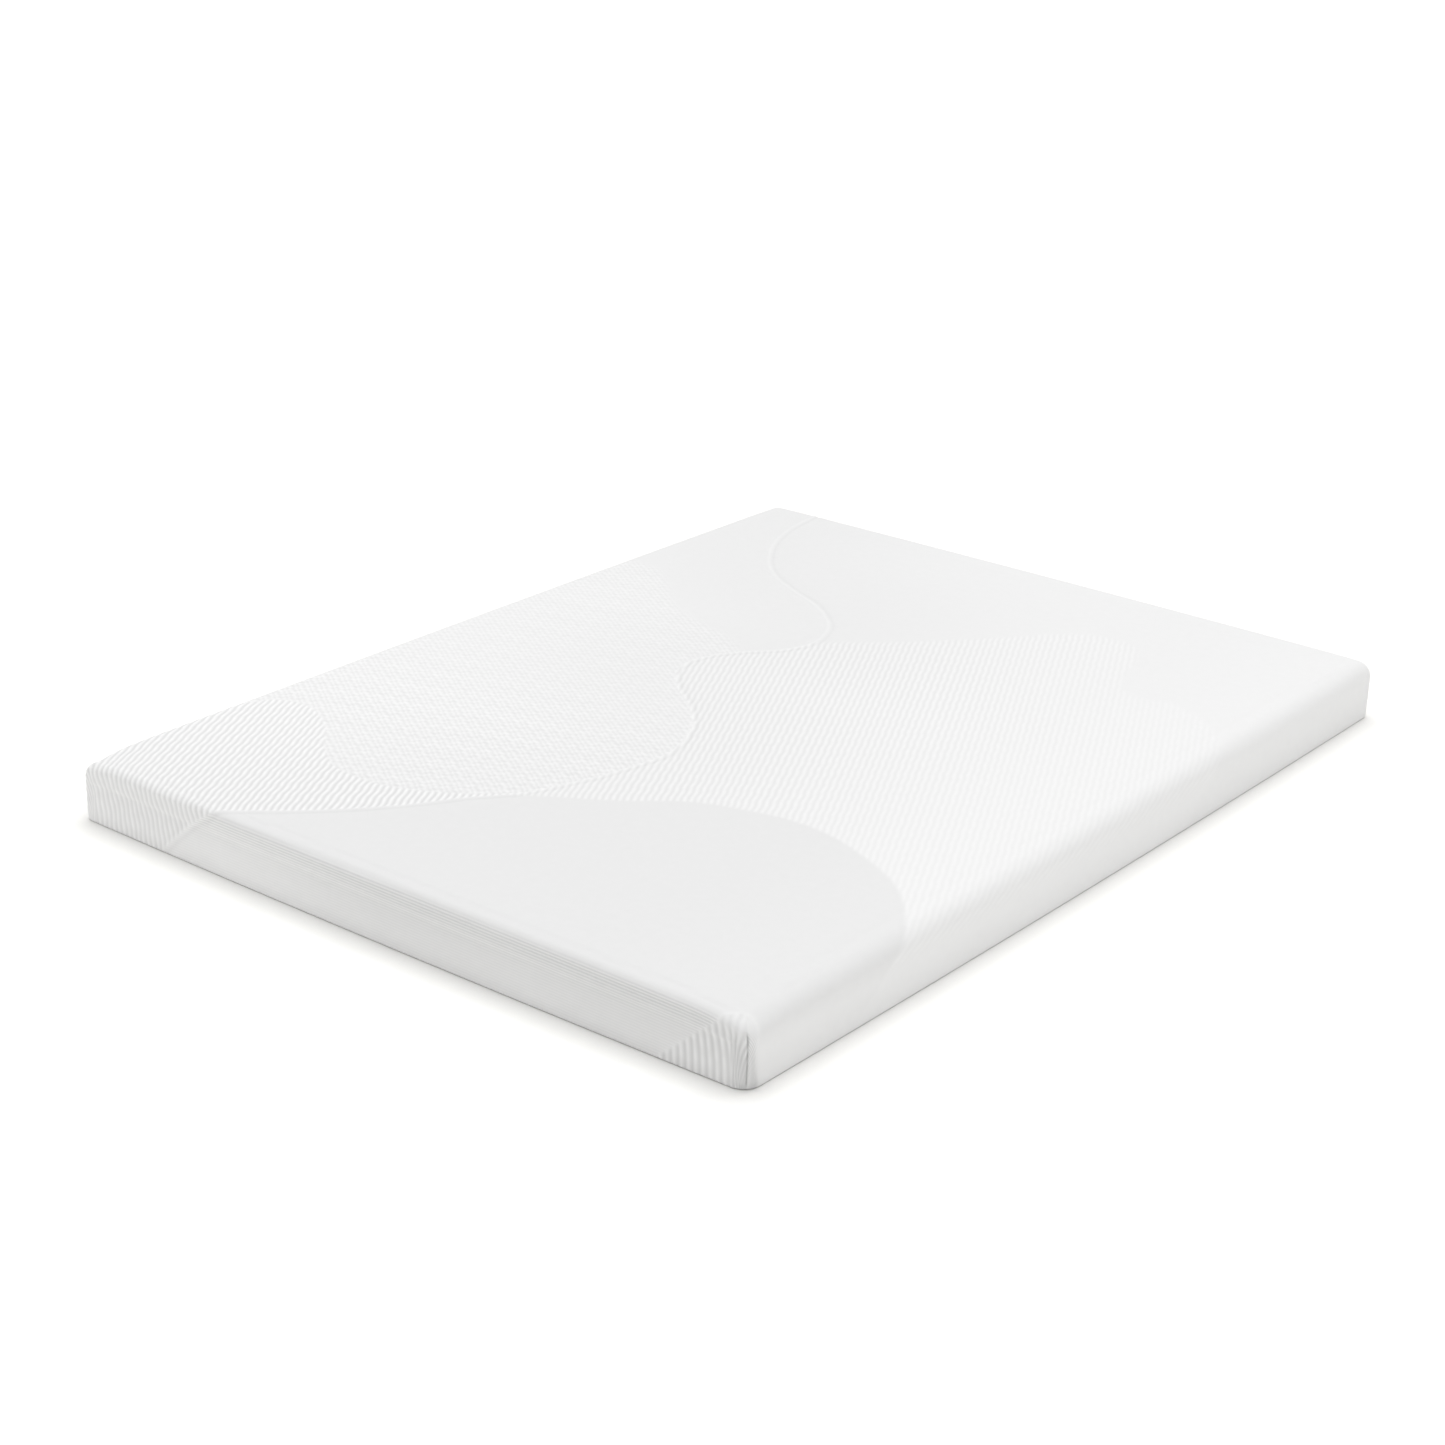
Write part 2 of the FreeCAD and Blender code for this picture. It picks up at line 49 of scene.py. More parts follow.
COVER_HIGH = Vector(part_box("cover_top")[1])
HEIGHT = COVER_HIGH.z
BOW = 0.007  # how far the middle of each side swells past its corners
CORNER_X = COVER_HIGH.x - BOW
CORNER_Y = COVER_HIGH.y - BOW
CORE = 0.034  # the flat grid of the top stops this far inside the corners' lines
CORE_X = CORNER_X - CORE
CORE_Y = CORNER_Y - CORE
SIDE_ROUND = 0.034  # top edge along the two long sides
FRONT_ROUND = 0.014  # top edge along the -Y end
BACK_ROUND = 0.030  # top edge along the +Y end
CORNER_DROP = 0.011  # how far the top sinks at its two corners at -Y
CORNER_DROP_BACK = 0.001  # and at the two at +Y
CORNER_REACH = 0.060  # and how far from the corner that spreads
CORNER_SHARE = 0.52  # radius of the upright corners, as a share of CORE
CORNER_SPREAD = 0.42  # added to that share at the floor, at the pillowy corner at +X and -Y
HEM_INSET = 0.014  # where the knit, turned under, meets the base cloth


# ---- small helpers


def smoothstep(low, high, value):
    t = np.clip((value - low) / (high - low), 0, 1)
    return t * t * (3 - 2 * t)


def bowed(x, y):
    """Swell the straight-sided plan so that each side bows out by BOW at its middle."""
    return (
        x * (1 + BOW / CORNER_X * (1 - (y / CORNER_Y) ** 2)),
        y * (1 + BOW / CORNER_Y * (1 - (x / CORNER_X) ** 2)),
    )


def bowed_points(plan, heights):
    """Points in space from blocks of straight-sided plan points and blocks of their heights."""
    plan = np.vstack(plan)
    x, y = bowed(plan[:, 0], plan[:, 1])
    return np.stack([x, y, np.concatenate(heights)], 1)


def mesh_object(name, points, faces, smooth=True):
    """A mesh object from an array of points and a list of face arrays, each of one face size."""
    mesh = bpy.data.meshes.new(name)
    mesh.vertices.add(len(points))
    mesh.vertices.foreach_set("co", np.asarray(points, np.float32).ravel())
    faces = [np.asarray(block, np.int32) for block in faces if len(block)]
    corners = np.concatenate([block.ravel() for block in faces])
    sizes = np.concatenate([np.full(len(block), block.shape[1]) for block in faces])
    starts = np.concatenate([[0], np.cumsum(sizes)[:-1]]).astype(np.int32)
    mesh.loops.add(len(corners))
    mesh.loops.foreach_set("vertex_index", corners)
    mesh.polygons.add(len(sizes))
    mesh.polygons.foreach_set("loop_start", starts)
    mesh.update(calc_edges=True)
    mesh.polygons.foreach_set("use_smooth", np.full(len(sizes), smooth))
    mesh.update()
    piece = bpy.data.objects.new(name, mesh)
    bpy.context.scene.collection.objects.link(piece)
    return piece


def finish_piece(piece, material, body="root", stands_for=()):
    piece.data.materials.append(material)
    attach(piece, body)
    if stands_for:
        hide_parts(*stands_for)
    return piece


def read_vectors(vertices, key):
    values = np.empty(len(vertices) * 3, np.float32)
    vertices.foreach_get(key, values)
    return values.reshape(-1, 3)


def set_float(piece, name, values):
    attribute = piece.data.attributes.new(name, "FLOAT", "POINT")
    attribute.data.foreach_set("value", np.asarray(values, np.float32))


def set_vector(piece, name, values):
    attribute = piece.data.attributes.new(name, "FLOAT_VECTOR", "POINT")
    attribute.data.foreach_set("vector", np.asarray(values, np.float32).ravel())


# ---- rounded slabs: a flat grid, and rings that run round it from station to station


class Slab:
    """A flat grid with rings of points round it, and four fans of stations at its corners."""

    def __init__(self, xs, ys, turns):
        self.xs = xs
        self.ys = ys
        self.grid_size = len(xs) * len(ys)
        index = np.arange(self.grid_size).reshape(len(xs), len(ys))
        inner = turns[1:-1]
        at_corner = 0 * inner.astype(int)
        walk = [
            # indices of grid points, turn from the X side to the Y side, signs of x and y
            (index[-1, :], 0 * ys, 1, 1),
            (index[-1, -1] + at_corner, inner, 1, 1),
            (index[::-1, -1], 0 * xs + 1, 1, 1),
            (index[0, -1] + at_corner, inner[::-1], -1, 1),
            (index[0, ::-1], 0 * ys, -1, 1),
            (index[0, 0] + at_corner, inner, -1, -1),
            (index[:, 0], 0 * xs + 1, 1, -1),
            (index[-1, 0] + at_corner, inner[::-1], 1, -1),
        ]
        lengths = [len(part[0]) for part in walk]
        self.border, self.turn = (np.concatenate([part[n] for part in walk]) for n in (0, 1))
        self.sign_x, self.sign_y = (np.repeat([part[n] for part in walk], lengths) for n in (2, 3))
        self.count = len(self.border)
        straight = [np.linspace(0, 1, len(part)) for part in (ys, xs, ys, xs)]
        fan = np.arange(1, len(inner) + 1) / (len(inner) + 1)
        self.station = np.concatenate(
            [2 * side + part for side in range(4) for part in (straight[side], 1 + fan)]
        )
        grid_x, grid_y = np.meshgrid(xs, ys, indexing="ij")
        self.grid = np.stack([grid_x.ravel(), grid_y.ravel()], axis=1)
        self.base = self.grid[self.border]
        self.blend = smoothstep(0, 1, self.turn)
        self.columns_of_end = slice(len(ys) + len(inner), len(ys) + len(inner) + len(xs))

    def mixed(self, side, end):
        """A value at each station, from one for the long sides and one for the ends."""
        return (1 - self.blend) * side + self.blend * end

    def ring_numbers(self, number):
        """Vertex numbers of a ring, counted from 0 after the flat grid."""
        return self.grid_size + number * self.count + np.arange(self.count)

    def ring(self, side, end, share=CORNER_SHARE):
        """Plan points of a ring at given insets, one for the long sides and one for the ends.

        The radius of the upright corners is a share of the way from the flat grid to the ring.
        """
        reach_x = CORE - side
        reach_y = CORE - end
        radius = share * np.minimum(reach_x, reach_y)
        straight = reach_y - radius
        arc = radius * math.pi / 2
        along = self.turn * (straight + arc + reach_x - radius)
        angle = np.clip((along - straight) / radius, 0, math.pi / 2)
        across = np.clip(along - straight - arc, 0, None)
        x = reach_x - radius + radius * np.cos(angle) - across
        y = np.clip(along, 0, straight) + radius * np.sin(angle)
        x = np.where(self.turn == 1, 0, x)
        return np.stack([self.base[:, 0] + self.sign_x * x, self.base[:, 1] + self.sign_y * y], 1)

    def ring_faces(self, first, second, keep=None):
        """Quads between two rings of vertex numbers, and triangles where two numbers are one."""
        a, b = first, np.roll(first, -1)
        c, d = np.roll(second, -1), second
        if keep is not None:
            a, b, c, d = a[keep], b[keep], c[keep], d[keep]
        fan = a == b
        return (
            np.stack([a, d, c, b], 1)[~fan],
            np.stack([a, d, c], 1)[fan],
        )

    def skin(self, rings):
        """Numbers of the border and of so many rings, and the faces of the grid and of them all."""
        numbers = [self.border] + [self.ring_numbers(number) for number in range(rings)]
        faces = [self.grid_faces()]
        for ring, following in zip(numbers, numbers[1:]):
            faces.extend(self.ring_faces(ring, following))
        return numbers, faces

    def turns(self, rings):
        """The turn at every vertex of the grid, where it is 0, and of so many rings."""
        return np.concatenate([np.zeros(self.grid_size)] + [self.turn] * rings)

    def grid_faces(self, start=0, upward=True):
        index = start + np.arange(self.grid_size).reshape(len(self.xs), len(self.ys))
        a, b, c, d = index[:-1, :-1], index[1:, :-1], index[1:, 1:], index[:-1, 1:]
        order = [b, c, d, a] if upward else [b, a, d, c]
        return np.stack([part.ravel() for part in order], axis=1)


def edge_profile(radius, level, steps, inset=0.0, height=HEIGHT):
    """Inset and height from the flat grid's rim, out over a rounded edge and down to a level."""
    flat = CORE - inset - radius
    arc = radius * math.pi / 2
    length = flat + arc + height - radius - level
    along = np.linspace(0, length, steps + 1)[1:]
    angle = np.clip((along - flat) / radius, 0, math.pi / 2)
    down = np.clip(along - flat - arc, 0, None)
    insets = CORE - np.minimum(along, flat) - radius * np.sin(angle)
    return insets, height - radius * (1 - np.cos(angle)) - down


def axis_points(half, step, exact=()):
    """Evenly spaced coordinates from -half to half, with the nearest ones moved to exact places."""
    count = round(2 * half / step)
    points = np.linspace(-half, half, count + 1)
    for place in exact:
        points[np.argmin(abs(points - place))] = place
    return points


def corner_turns(steps):
    """Turn from side to end at each corner station, closer together at the seam in the middle."""
    spread = np.linspace(-1, 1, steps + 1)
    return 0.5 + 0.5 * np.sign(spread) * abs(spread) ** 1.5


# ---- node materials


WAVE_METRE = 0.314  # period of a Wave texture of scale 1


class Nodes:
    """The emptied node tree of a material or a world, and short ways to add nodes to it."""

    def __init__(self, data):
        self.data = data
        data.use_nodes = True
        self.tree = data.node_tree
        self.tree.nodes.clear()

    def add(self, kind, settings=(), **inputs):
        node = self.tree.nodes.new(kind)
        for key, value in dict(settings).items():
            setattr(node, key, value)
        for key, value in inputs.items():
            self.put(node, key.replace("_", " "), value)
        return node

    def put(self, node, key, value):
        """Link or set an input, which key gives by its name or its number."""
        socket = node.inputs[key]
        if isinstance(value, bpy.types.NodeSocket):
            self.tree.links.new(value, socket)
        else:
            socket.default_value = value

    def math(self, operation, *values):
        node = self.tree.nodes.new("ShaderNodeMath")
        node.operation = operation
        for number, value in enumerate(values):
            self.put(node, number, value)
        return node.outputs[0]


class Material(Nodes):
    """A node material with one Principled surface."""

    def __init__(self, name, **surface):
        super().__init__(bpy.data.materials.new(name))
        self.surface = self.add("ShaderNodeBsdfPrincipled", **surface)
        self.add("ShaderNodeOutputMaterial", Surface=self.surface.outputs[0])

    def attribute(self, name, output="Fac"):
        return self.add("ShaderNodeAttribute", {"attribute_name": name}).outputs[output]

    def place(self):
        return self.add("ShaderNodeTexCoord").outputs["Object"]

    def noise(self, where, scale, detail=3.0):
        node = self.add("ShaderNodeTexNoise", Vector=where, Scale=scale, Detail=detail)
        return node.outputs["Fac"]

    def wave(self, where, period, direction):
        """A smooth sine of a period in metres."""
        settings = {"bands_direction": direction}
        scale = WAVE_METRE / period
        return self.add("ShaderNodeTexWave", settings, Vector=where, Scale=scale).outputs["Fac"]

    def ramp(self, factor, low, high, start, end):
        """A colour that goes from low to high as the factor goes from start to end.

        A number for low is a share of the colour for high.
        """
        if isinstance(low, float):
            low = [low * level for level in high]
        node = self.add("ShaderNodeValToRGB", Fac=factor)
        first, last = node.color_ramp.elements
        first.position, first.color = start, (*low, 1)
        last.position, last.color = end, (*high, 1)
        return node.outputs["Color"]

    def bump(self, height, distance, strength, below=None):
        inputs = {"Height": height, "Distance": distance, "Strength": strength}
        if below is not None:
            inputs["Normal"] = below
        return self.add("ShaderNodeBump", **inputs).outputs["Normal"]

    def finish(self, color=None, normal=None, roughness=None):
        for key, value in (("Base Color", color), ("Normal", normal), ("Roughness", roughness)):
            if value is not None:
                self.put(self.surface, key, value)
        return self.data


COVER_WHITE = 0.90  # where the tone is 1


def cover_material():
    """White jacquard knit: fine loops everywhere, and each area's relief and tone by attribute; the
    tone also holds painted shade and painted highlight.
    """
    m = Material("cover_knit", Roughness=0.88, Sheen_Weight=0.08, Sheen_Roughness=0.4)
    cloth = m.attribute("cloth", "Vector")
    loops = m.math("MULTIPLY", m.wave(cloth, 0.0015, "X"), m.wave(cloth, 0.0011, "Y"))
    fine = m.math("MULTIPLY_ADD", m.noise(cloth, 900.0, 2.0), 0.5, loops)
    yarn = m.noise(cloth, 240.0)
    swell = m.math("SUBTRACT", m.wave(cloth, 0.0051, "Y"), 0.5)
    wall_lines = m.math("MULTIPLY", swell, m.attribute("lines"))
    normal = m.bump(fine, 0.00012, 0.6)
    normal = m.bump(yarn, 0.0003, 0.5, normal)
    normal = m.bump(wall_lines, 0.00035, 1.0, normal)
    mottle = m.math("MULTIPLY_ADD", m.noise(cloth, 60.0, 4.0), 0.03, 0.985)
    value = m.math("MULTIPLY_ADD", wall_lines, 0.165, m.attribute("tone"))
    value = m.math("MULTIPLY", value, mottle)
    return m.finish(color=m.math("MULTIPLY", value, COVER_WHITE), normal=normal)


# ---- the cover's pattern, drawn on the unfolded cloth, in metres

MAIN_LINE = [
    (-0.640, 1.120), (-0.627, 1.016), (-0.614, 0.901), (-0.590, 0.811), (-0.550, 0.729),
    (-0.497, 0.654), (-0.430, 0.594), (-0.347, 0.549), (-0.265, 0.511), (-0.197, 0.459),
    (-0.160, 0.414), (-0.137, 0.354), (-0.137, 0.301), (-0.160, 0.249), (-0.205, 0.196),
    (-0.239, 0.136), (-0.250, 0.076), (-0.230, 0.016), (-0.182, -0.037), (-0.115, -0.089),
    (-0.047, -0.157), (-0.010, -0.224), (0.013, -0.292), (0.010, -0.367), (-0.010, -0.464),
    (-0.040, -0.554), (-0.065, -0.614), (-0.122, -0.689), (-0.182, -0.787), (-0.257, -0.877),
    (-0.332, -0.952), (-0.405, -1.012), (-0.456, -1.045), (-0.497, -1.080), (-0.530, -1.111),
    (-0.560, -1.142),
]
WEAVE_NORTH = [
    (-0.730, 0.466), (-0.632, 0.451), (-0.482, 0.316), (-0.392, 0.271), (-0.287, 0.241),
    (-0.205, 0.196),
]
WEAVE_SOUTH = [
    (-0.722, -0.629), (-0.692, -0.592), (-0.640, -0.577), (-0.572, -0.599), (-0.512, -0.644),
    (-0.460, -0.697), (-0.392, -0.742), (-0.317, -0.752), (-0.242, -0.742), (-0.167, -0.704),
    (-0.107, -0.652), (-0.065, -0.614),
]
SMOOTH_SOUTH = [
    (-0.137, 0.331), (-0.062, 0.391), (0.028, 0.481), (0.118, 0.586), (0.208, 0.699),
    (0.268, 0.744), (0.358, 0.744), (0.403, 0.676), (0.426, 0.601), (0.463, 0.526),
    (0.523, 0.504), (0.568, 0.526), (0.643, 0.496), (0.703, 0.459), (0.748, 0.406),
]
SHADED_NORTH = [
    (-0.062, -0.622), (-0.002, -0.584), (0.088, -0.524), (0.178, -0.449), (0.268, -0.412),
    (0.358, -0.392), (0.448, -0.397), (0.538, -0.427), (0.628, -0.472), (0.696, -0.532),
    (0.748, -0.599),
]
CORNER_PATCH = [
    (0.785, -0.998), (0.758, -0.982), (0.730, -0.978), (0.710, -0.995), (0.688, -1.025),
    (0.645, -1.066), (0.600, -1.107), (0.560, -1.142),
]


def smooth_line(points, steps=5, run_out=1.0):
    """A Catmull-Rom curve through the points, run straight on past both ends."""
    points = np.array(points)
    ends = [2 * points[0] - points[1], 2 * points[-1] - points[-2]]
    padded = np.vstack([ends[0], points, ends[1]])
    t = np.linspace(0, 1, steps, endpoint=False)[:, None]
    curve = []
    for p0, p1, p2, p3 in zip(padded, padded[1:], padded[2:], padded[3:]):
        curve.append(
            0.5
            * (
                2 * p1
                + (p2 - p0) * t
                + (2 * p0 - 5 * p1 + 4 * p2 - p3) * t**2
                + (3 * p1 - p0 - 3 * p2 + p3) * t**3
            )
        )
    curve = np.vstack(curve + [points[-1:]])
    before = curve[0] + run_out * (curve[0] - curve[1]) / np.linalg.norm(curve[0] - curve[1])
    after = curve[-1] + run_out * (curve[-1] - curve[-2]) / np.linalg.norm(curve[-1] - curve[-2])
    return np.vstack([before, curve, after])


def signed_distance(u, v, line):
    """Distance to a line, positive on the left of its direction."""
    nearest = np.full(u.shape, np.inf)
    side = np.ones(u.shape)
    for (ax, ay), (bx, by) in zip(line, line[1:]):
        dx, dy = bx - ax, by - ay
        long = math.hypot(dx, dy)
        along = np.clip(((u - ax) * dx + (v - ay) * dy) / long**2, 0, 1)
        distance = np.hypot(u - ax - along * dx, v - ay - along * dy)
        cross = dx * (v - ay) - dy * (u - ax)
        closer = distance < nearest - 1e-9
        nearest = np.where(closer, distance, nearest)
        side = np.where(closer, np.sign(cross), side)
    return nearest * side


def distance_to(points, u, v):
    """The signed distance at many places, read from a coarse map of it."""
    cell = 0.008
    line = smooth_line(points)
    map_u = np.arange(-0.96, 0.96 + cell, cell)
    map_v = np.arange(-1.22, 1.22 + cell, cell)
    field = signed_distance(*np.meshgrid(map_u, map_v, indexing="ij"), line)
    place_u = np.clip((u - map_u[0]) / cell, 0, len(map_u) - 1.001)
    place_v = np.clip((v - map_v[0]) / cell, 0, len(map_v) - 1.001)
    i, j = place_u.astype(int), place_v.astype(int)
    a, b = place_u - i, place_v - j
    low = field[i, j] * (1 - a) + field[i + 1, j] * a
    high = field[i, j + 1] * (1 - a) + field[i + 1, j + 1] * a
    return low * (1 - b) + high * b


def ridge(distance, centre, width):
    return np.exp(-(((distance - centre) / width) ** 2))


def past(distance, width):
    """0 before a line and 1 past it, over a soft width to either side."""
    return smoothstep(-width, width, distance)


RIB_PERIOD = 0.0119
RIB_ANGLE = math.radians(26.565)
CORNER_RIB_PERIOD = 0.0128
CORNER_RIB_ANGLE = math.radians(22)
RIB_PULSE = 0.036  # length of one swelling along a rib
RIB_MIDDLE = 0.92  # mean of twice a rib's height, so that the painted shade and highlight swing evenly about it
EDGE_LINE = 1.006  # where the cloth's pattern starts to turn as it goes down an end wall

RIB_DEEP = 0.00075
CORNER_RIB_DEEP = 0.0007
WEAVE_DEEP = 0.00016
WEAVE_WAVES = [
    # period, angle in degrees, share
    (0.01033, 56.5, 0.5),
    (0.0223, -64.2, 0.25),
    (0.015, -38.7, 0.25),
]
BORDER_WIDE = 0.0038
BORDER_GROOVE = 0.0095  # from the raised main line to the groove beside it
THIN_BORDER_WIDE = 0.004
RELIEF_SHADE_SWING = 0.125  # how far painted shade darkens the relief's troughs and painted highlight lightens its crests


def rib_relief(u, v, period, angle, turn, wander, along):
    """Rounded ribs, each one swelling and thinning along its length out of step with the next."""
    phase = (u * math.cos(angle) + v * math.sin(angle) - turn) / period + wander
    scatter = 0.5 + 0.5 * np.sin(np.round(phase) * 12.9898)
    pulse = 0.5 + 0.5 * np.sin(TAU * (along / RIB_PULSE + 3.7 * scatter))
    return (0.5 + 0.5 * np.cos(TAU * phase)) * (1 - 0.16 * pulse)


def knit_waves(u, v, down_end):
    """Heights of the ribs and of the corner patch's ribs, from 0 to 1, and the weave, about 0."""
    edge_v = np.clip(v, -EDGE_LINE, EDGE_LINE)
    turn = 0.35 * (down_end - down_end**2 / 0.226)
    wander = 0.10 * np.sin(TAU * (u / 0.31 + v / 0.47) + 1.3)
    wander = wander + 0.07 * np.sin(TAU * (u / 0.083 - v / 0.061) + 0.4)
    along = edge_v * math.cos(RIB_ANGLE) - u * math.sin(RIB_ANGLE) - down_end
    ribs = rib_relief(u, edge_v, RIB_PERIOD, RIB_ANGLE, turn, wander, along)
    corner_ribs = rib_relief(
        u, edge_v, CORNER_RIB_PERIOD, CORNER_RIB_ANGLE, 0.8 * turn, 0, along
    )
    tangle = 5 * wander + 0.6 * np.sin(TAU * (u / 0.037 + v / 0.029) + 2.0)
    tangle = tangle + 0.5 * np.sin(TAU * (u / 0.021 - v / 0.033) + 0.7)
    weave = 0.0
    for period, angle, share in WEAVE_WAVES:
        a = math.radians(angle)
        wave = np.sin(TAU * (u * math.cos(a) + v * math.sin(a)) / period + tangle)
        weave = weave + share * wave
    return ribs, corner_ribs, weave


def pattern(u, v, down_end, down_side, seam_turn):
    """Relief and shader masks at places of the unfolded cloth.

    down_end and down_side say how far a place is down an end wall or a side wall, and seam_turn
    is 0.5 on a corner's seam, less on the side wall's part of the corner and more on the end's.
    """
    main, weave_north, weave_south, smooth_south, shaded_north, corner = (
        distance_to(line, u, v)
        for line in (MAIN_LINE, WEAVE_NORTH, WEAVE_SOUTH, SMOOTH_SOUTH, SHADED_NORTH, CORNER_PATCH)
    )

    # how far each place belongs to each area
    east = past(main, 0.003)
    west = 1 - east
    past_seam = (seam_turn > 0) * (1 - smoothstep(0.46, 0.50, seam_turn))
    in_corner = east * past(corner, 0.003) * (1 - past_seam)
    above_weave = past(weave_north, 0.020)
    below_weave = 1 - past(weave_south, 0.006)
    in_ribs = west * below_weave
    in_weave = west * (1 - below_weave) * (1 - above_weave)
    above_fine = past(smooth_south, 0.012)
    in_smooth = west * above_weave + east * above_fine
    below_shaded = 1 - past(shaded_north, 0.006)
    in_shaded = east * below_shaded * (1 - in_corner)
    in_fine = east * (1 - below_shaded) * (1 - above_fine)

    # relief in metres
    ribs, corner_ribs, weave = knit_waves(u, v, down_end)
    fine_share = 0.53 - 0.33 * smoothstep(0.0, 0.72, u) - 0.11 * smoothstep(0.2, 0.6, v)
    wall_fade = 1 - smoothstep(0.012, 0.055, down_side)
    main_border = ridge(main, 0.0, BORDER_WIDE)
    main_groove = ridge(main, BORDER_GROOVE, BORDER_WIDE)
    corner_border = east * ridge(corner, 0.0, THIN_BORDER_WIDE)
    shaded_border = ridge(u, -0.06, 0.12) * east * ridge(shaded_north, 0.0, THIN_BORDER_WIDE)
    relief = RIB_DEEP * in_ribs * ribs
    relief += RIB_DEEP * fine_share * in_fine * ribs
    relief += CORNER_RIB_DEEP * in_corner * corner_ribs
    relief += WEAVE_DEEP * in_weave * weave
    relief *= wall_fade
    relief += 0.0009 * main_border - 0.0007 * main_groove
    relief += 0.0005 * corner_border + 0.0004 * shaded_border

    # tone of the areas, 1 in the open ones, with painted shade and painted bounce light on the
    # walls
    on_wall = smoothstep(0.0, 0.02, down_end)
    side_wall = smoothstep(0.005, 0.050, down_side)
    band = 1 - smoothstep(0.015, 0.060, down_end)
    # painted shade on the end walls, deepest just under the top edge and deeper towards +X
    painted_wall_shade = 0.02 + 0.085 * smoothstep(-0.45, 0.10, u) + 0.025 * smoothstep(0.3, 0.6, u)
    painted_wall_shade = painted_wall_shade + 0.035 * band
    by_seam = smoothstep(0.25, 0.45, seam_turn) * (1 - smoothstep(0.85, 1.0, seam_turn))
    tone = 1 - 0.075 * in_shaded * (1 - 0.8 * side_wall) * (1 - on_wall) - 0.010 * in_smooth
    # painted shade of the end wall on the shaded area; the corner patch has a darker tone on top
    # and painted shade on the end wall
    tone -= on_wall * painted_wall_shade * in_shaded + (0.085 + 0.075 * on_wall) * in_corner
    # painted shade on the corner patch where its end wall curves round beside the seam
    tone -= 0.07 * by_seam * in_corner * smoothstep(0.01, 0.04, down_end)
    # painted shade on the lower side walls, and painted bounce light from the floor near the foot
    # of the end walls and the side walls
    tone -= 0.045 * smoothstep(0.05, 0.11, down_side)
    tone += 0.08 * smoothstep(0.045, 0.110, down_end)
    tone += 0.05 * smoothstep(0.06, 0.12, down_side)
    tone += 0.014 * smoothstep(0.4, 0.7, u) - 0.040 * ridge(main, 0.0, 0.36) * (1 - in_shaded)

    # and painted shade in the relief's troughs with painted highlight on its crests
    painted_relief_shade = in_ribs * (2 * ribs - RIB_MIDDLE) * (1 - 0.35 * on_wall)
    painted_relief_shade += fine_share * in_fine * (2 * ribs - RIB_MIDDLE)
    painted_relief_shade += in_corner * (2 * corner_ribs - RIB_MIDDLE) * (0.30 + 0.52 * on_wall)
    painted_relief_shade += (0.74 - 0.26 * smoothstep(-0.5, 0.0, v)) * in_weave * weave
    tone += RELIEF_SHADE_SWING * painted_relief_shade * wall_fade
    # painted highlight on the raised main line and the corner patch's border, painted shade in the
    # groove beside the main line
    tone += 0.035 * ridge(main, 0.0, 0.0036) - 0.035 * ridge(main, BORDER_GROOVE, 0.004)
    tone += 0.03 * corner_border
    lines = in_shaded * smoothstep(0.0, 0.01, down_end) * (0.25 + 0.75 * band)
    return relief, tone, lines


# ---- sizes and profiles of the cover

WALL_TOP = 0.080  # where the profile of the rounded edge ends
FOOT_ROUND = 0.0035  # bottom edge, where the knit turns under
TAPE_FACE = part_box("zip_coil_upper")[0][1]
SLIT_LOW = 0.0118
SLIT_HIGH = 0.0342
SLIT_HALF = 0.7072  # half of its length
SLIT_MIDDLE = (SLIT_LOW + SLIT_HIGH) / 2
SLIT_HALF_TALL = (SLIT_HIGH - SLIT_LOW) / 2
LIP_ROUND = 0.0012
PILLOW_HIGH = 0.035  # up to here the corner at +X and -Y is rounder
SEAM_RUN = 0.059  # about how much cloth goes round a corner
LABEL_MIDDLE = sum((Vector(corner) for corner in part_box("care_label")), Vector()) / 2
LABEL_HALF_Y, LABEL_HALF_Z = 0.045, 0.030


def cover_slab(step_x, step_y, corner_steps):
    return Slab(
        axis_points(CORE_X, step_x, (-SLIT_HALF, SLIT_HALF)),
        axis_points(CORE_Y, step_y),
        corner_turns(corner_steps),
    )


def cover_rings(slab, top_steps, wall_steps, slit_steps):
    """Inset and height of the cover's rings: along the sides, then at each station for the ends.

    After them come both profiles' runs, and the number of the ring along the slit's upper edge.
    """
    angle = np.linspace(0, math.pi / 2, 7)[1:]
    heights = np.r_[
        np.linspace(WALL_TOP, SLIT_HIGH, wall_steps + 1)[1:],
        np.linspace(SLIT_HIGH, SLIT_LOW, slit_steps + 1)[1:],
        FOOT_ROUND + 0.0024,
        FOOT_ROUND,
        FOOT_ROUND * (1 - np.sin(angle)),
        (0, 0, 0.0006, 0.0016),
    ]
    insets = np.r_[
        np.zeros(wall_steps + slit_steps + 2),
        FOOT_ROUND * (1 - np.cos(angle)),
        (0.0105, HEM_INSET - 0.0006, HEM_INSET, HEM_INSET),
    ]
    profiles = []
    for radius in (SIDE_ROUND, FRONT_ROUND, BACK_ROUND):
        top = np.stack(edge_profile(radius, WALL_TOP, top_steps), 1)
        profiles.append(np.vstack([top, np.stack([insets, heights], 1)]))
    side, front, back = profiles
    at_back = (slab.sign_y > 0)[:, None]
    end = np.where(at_back[:, None], back, front)
    run_end = np.where(at_back, run_along(back), run_along(front))
    return side, end, run_along(side), run_end, top_steps + wall_steps


def corner_sink(points):
    """How far the top sinks towards each corner, where the cover pulls the foam down."""
    away = np.hypot(CORNER_X - abs(points[:, 0]), CORNER_Y - abs(points[:, 1]))
    drop = np.where(points[:, 1] < 0, CORNER_DROP, CORNER_DROP_BACK)
    return drop * np.exp(-((away / CORNER_REACH) ** 2)) * smoothstep(0.05, HEIGHT, points[:, 2])


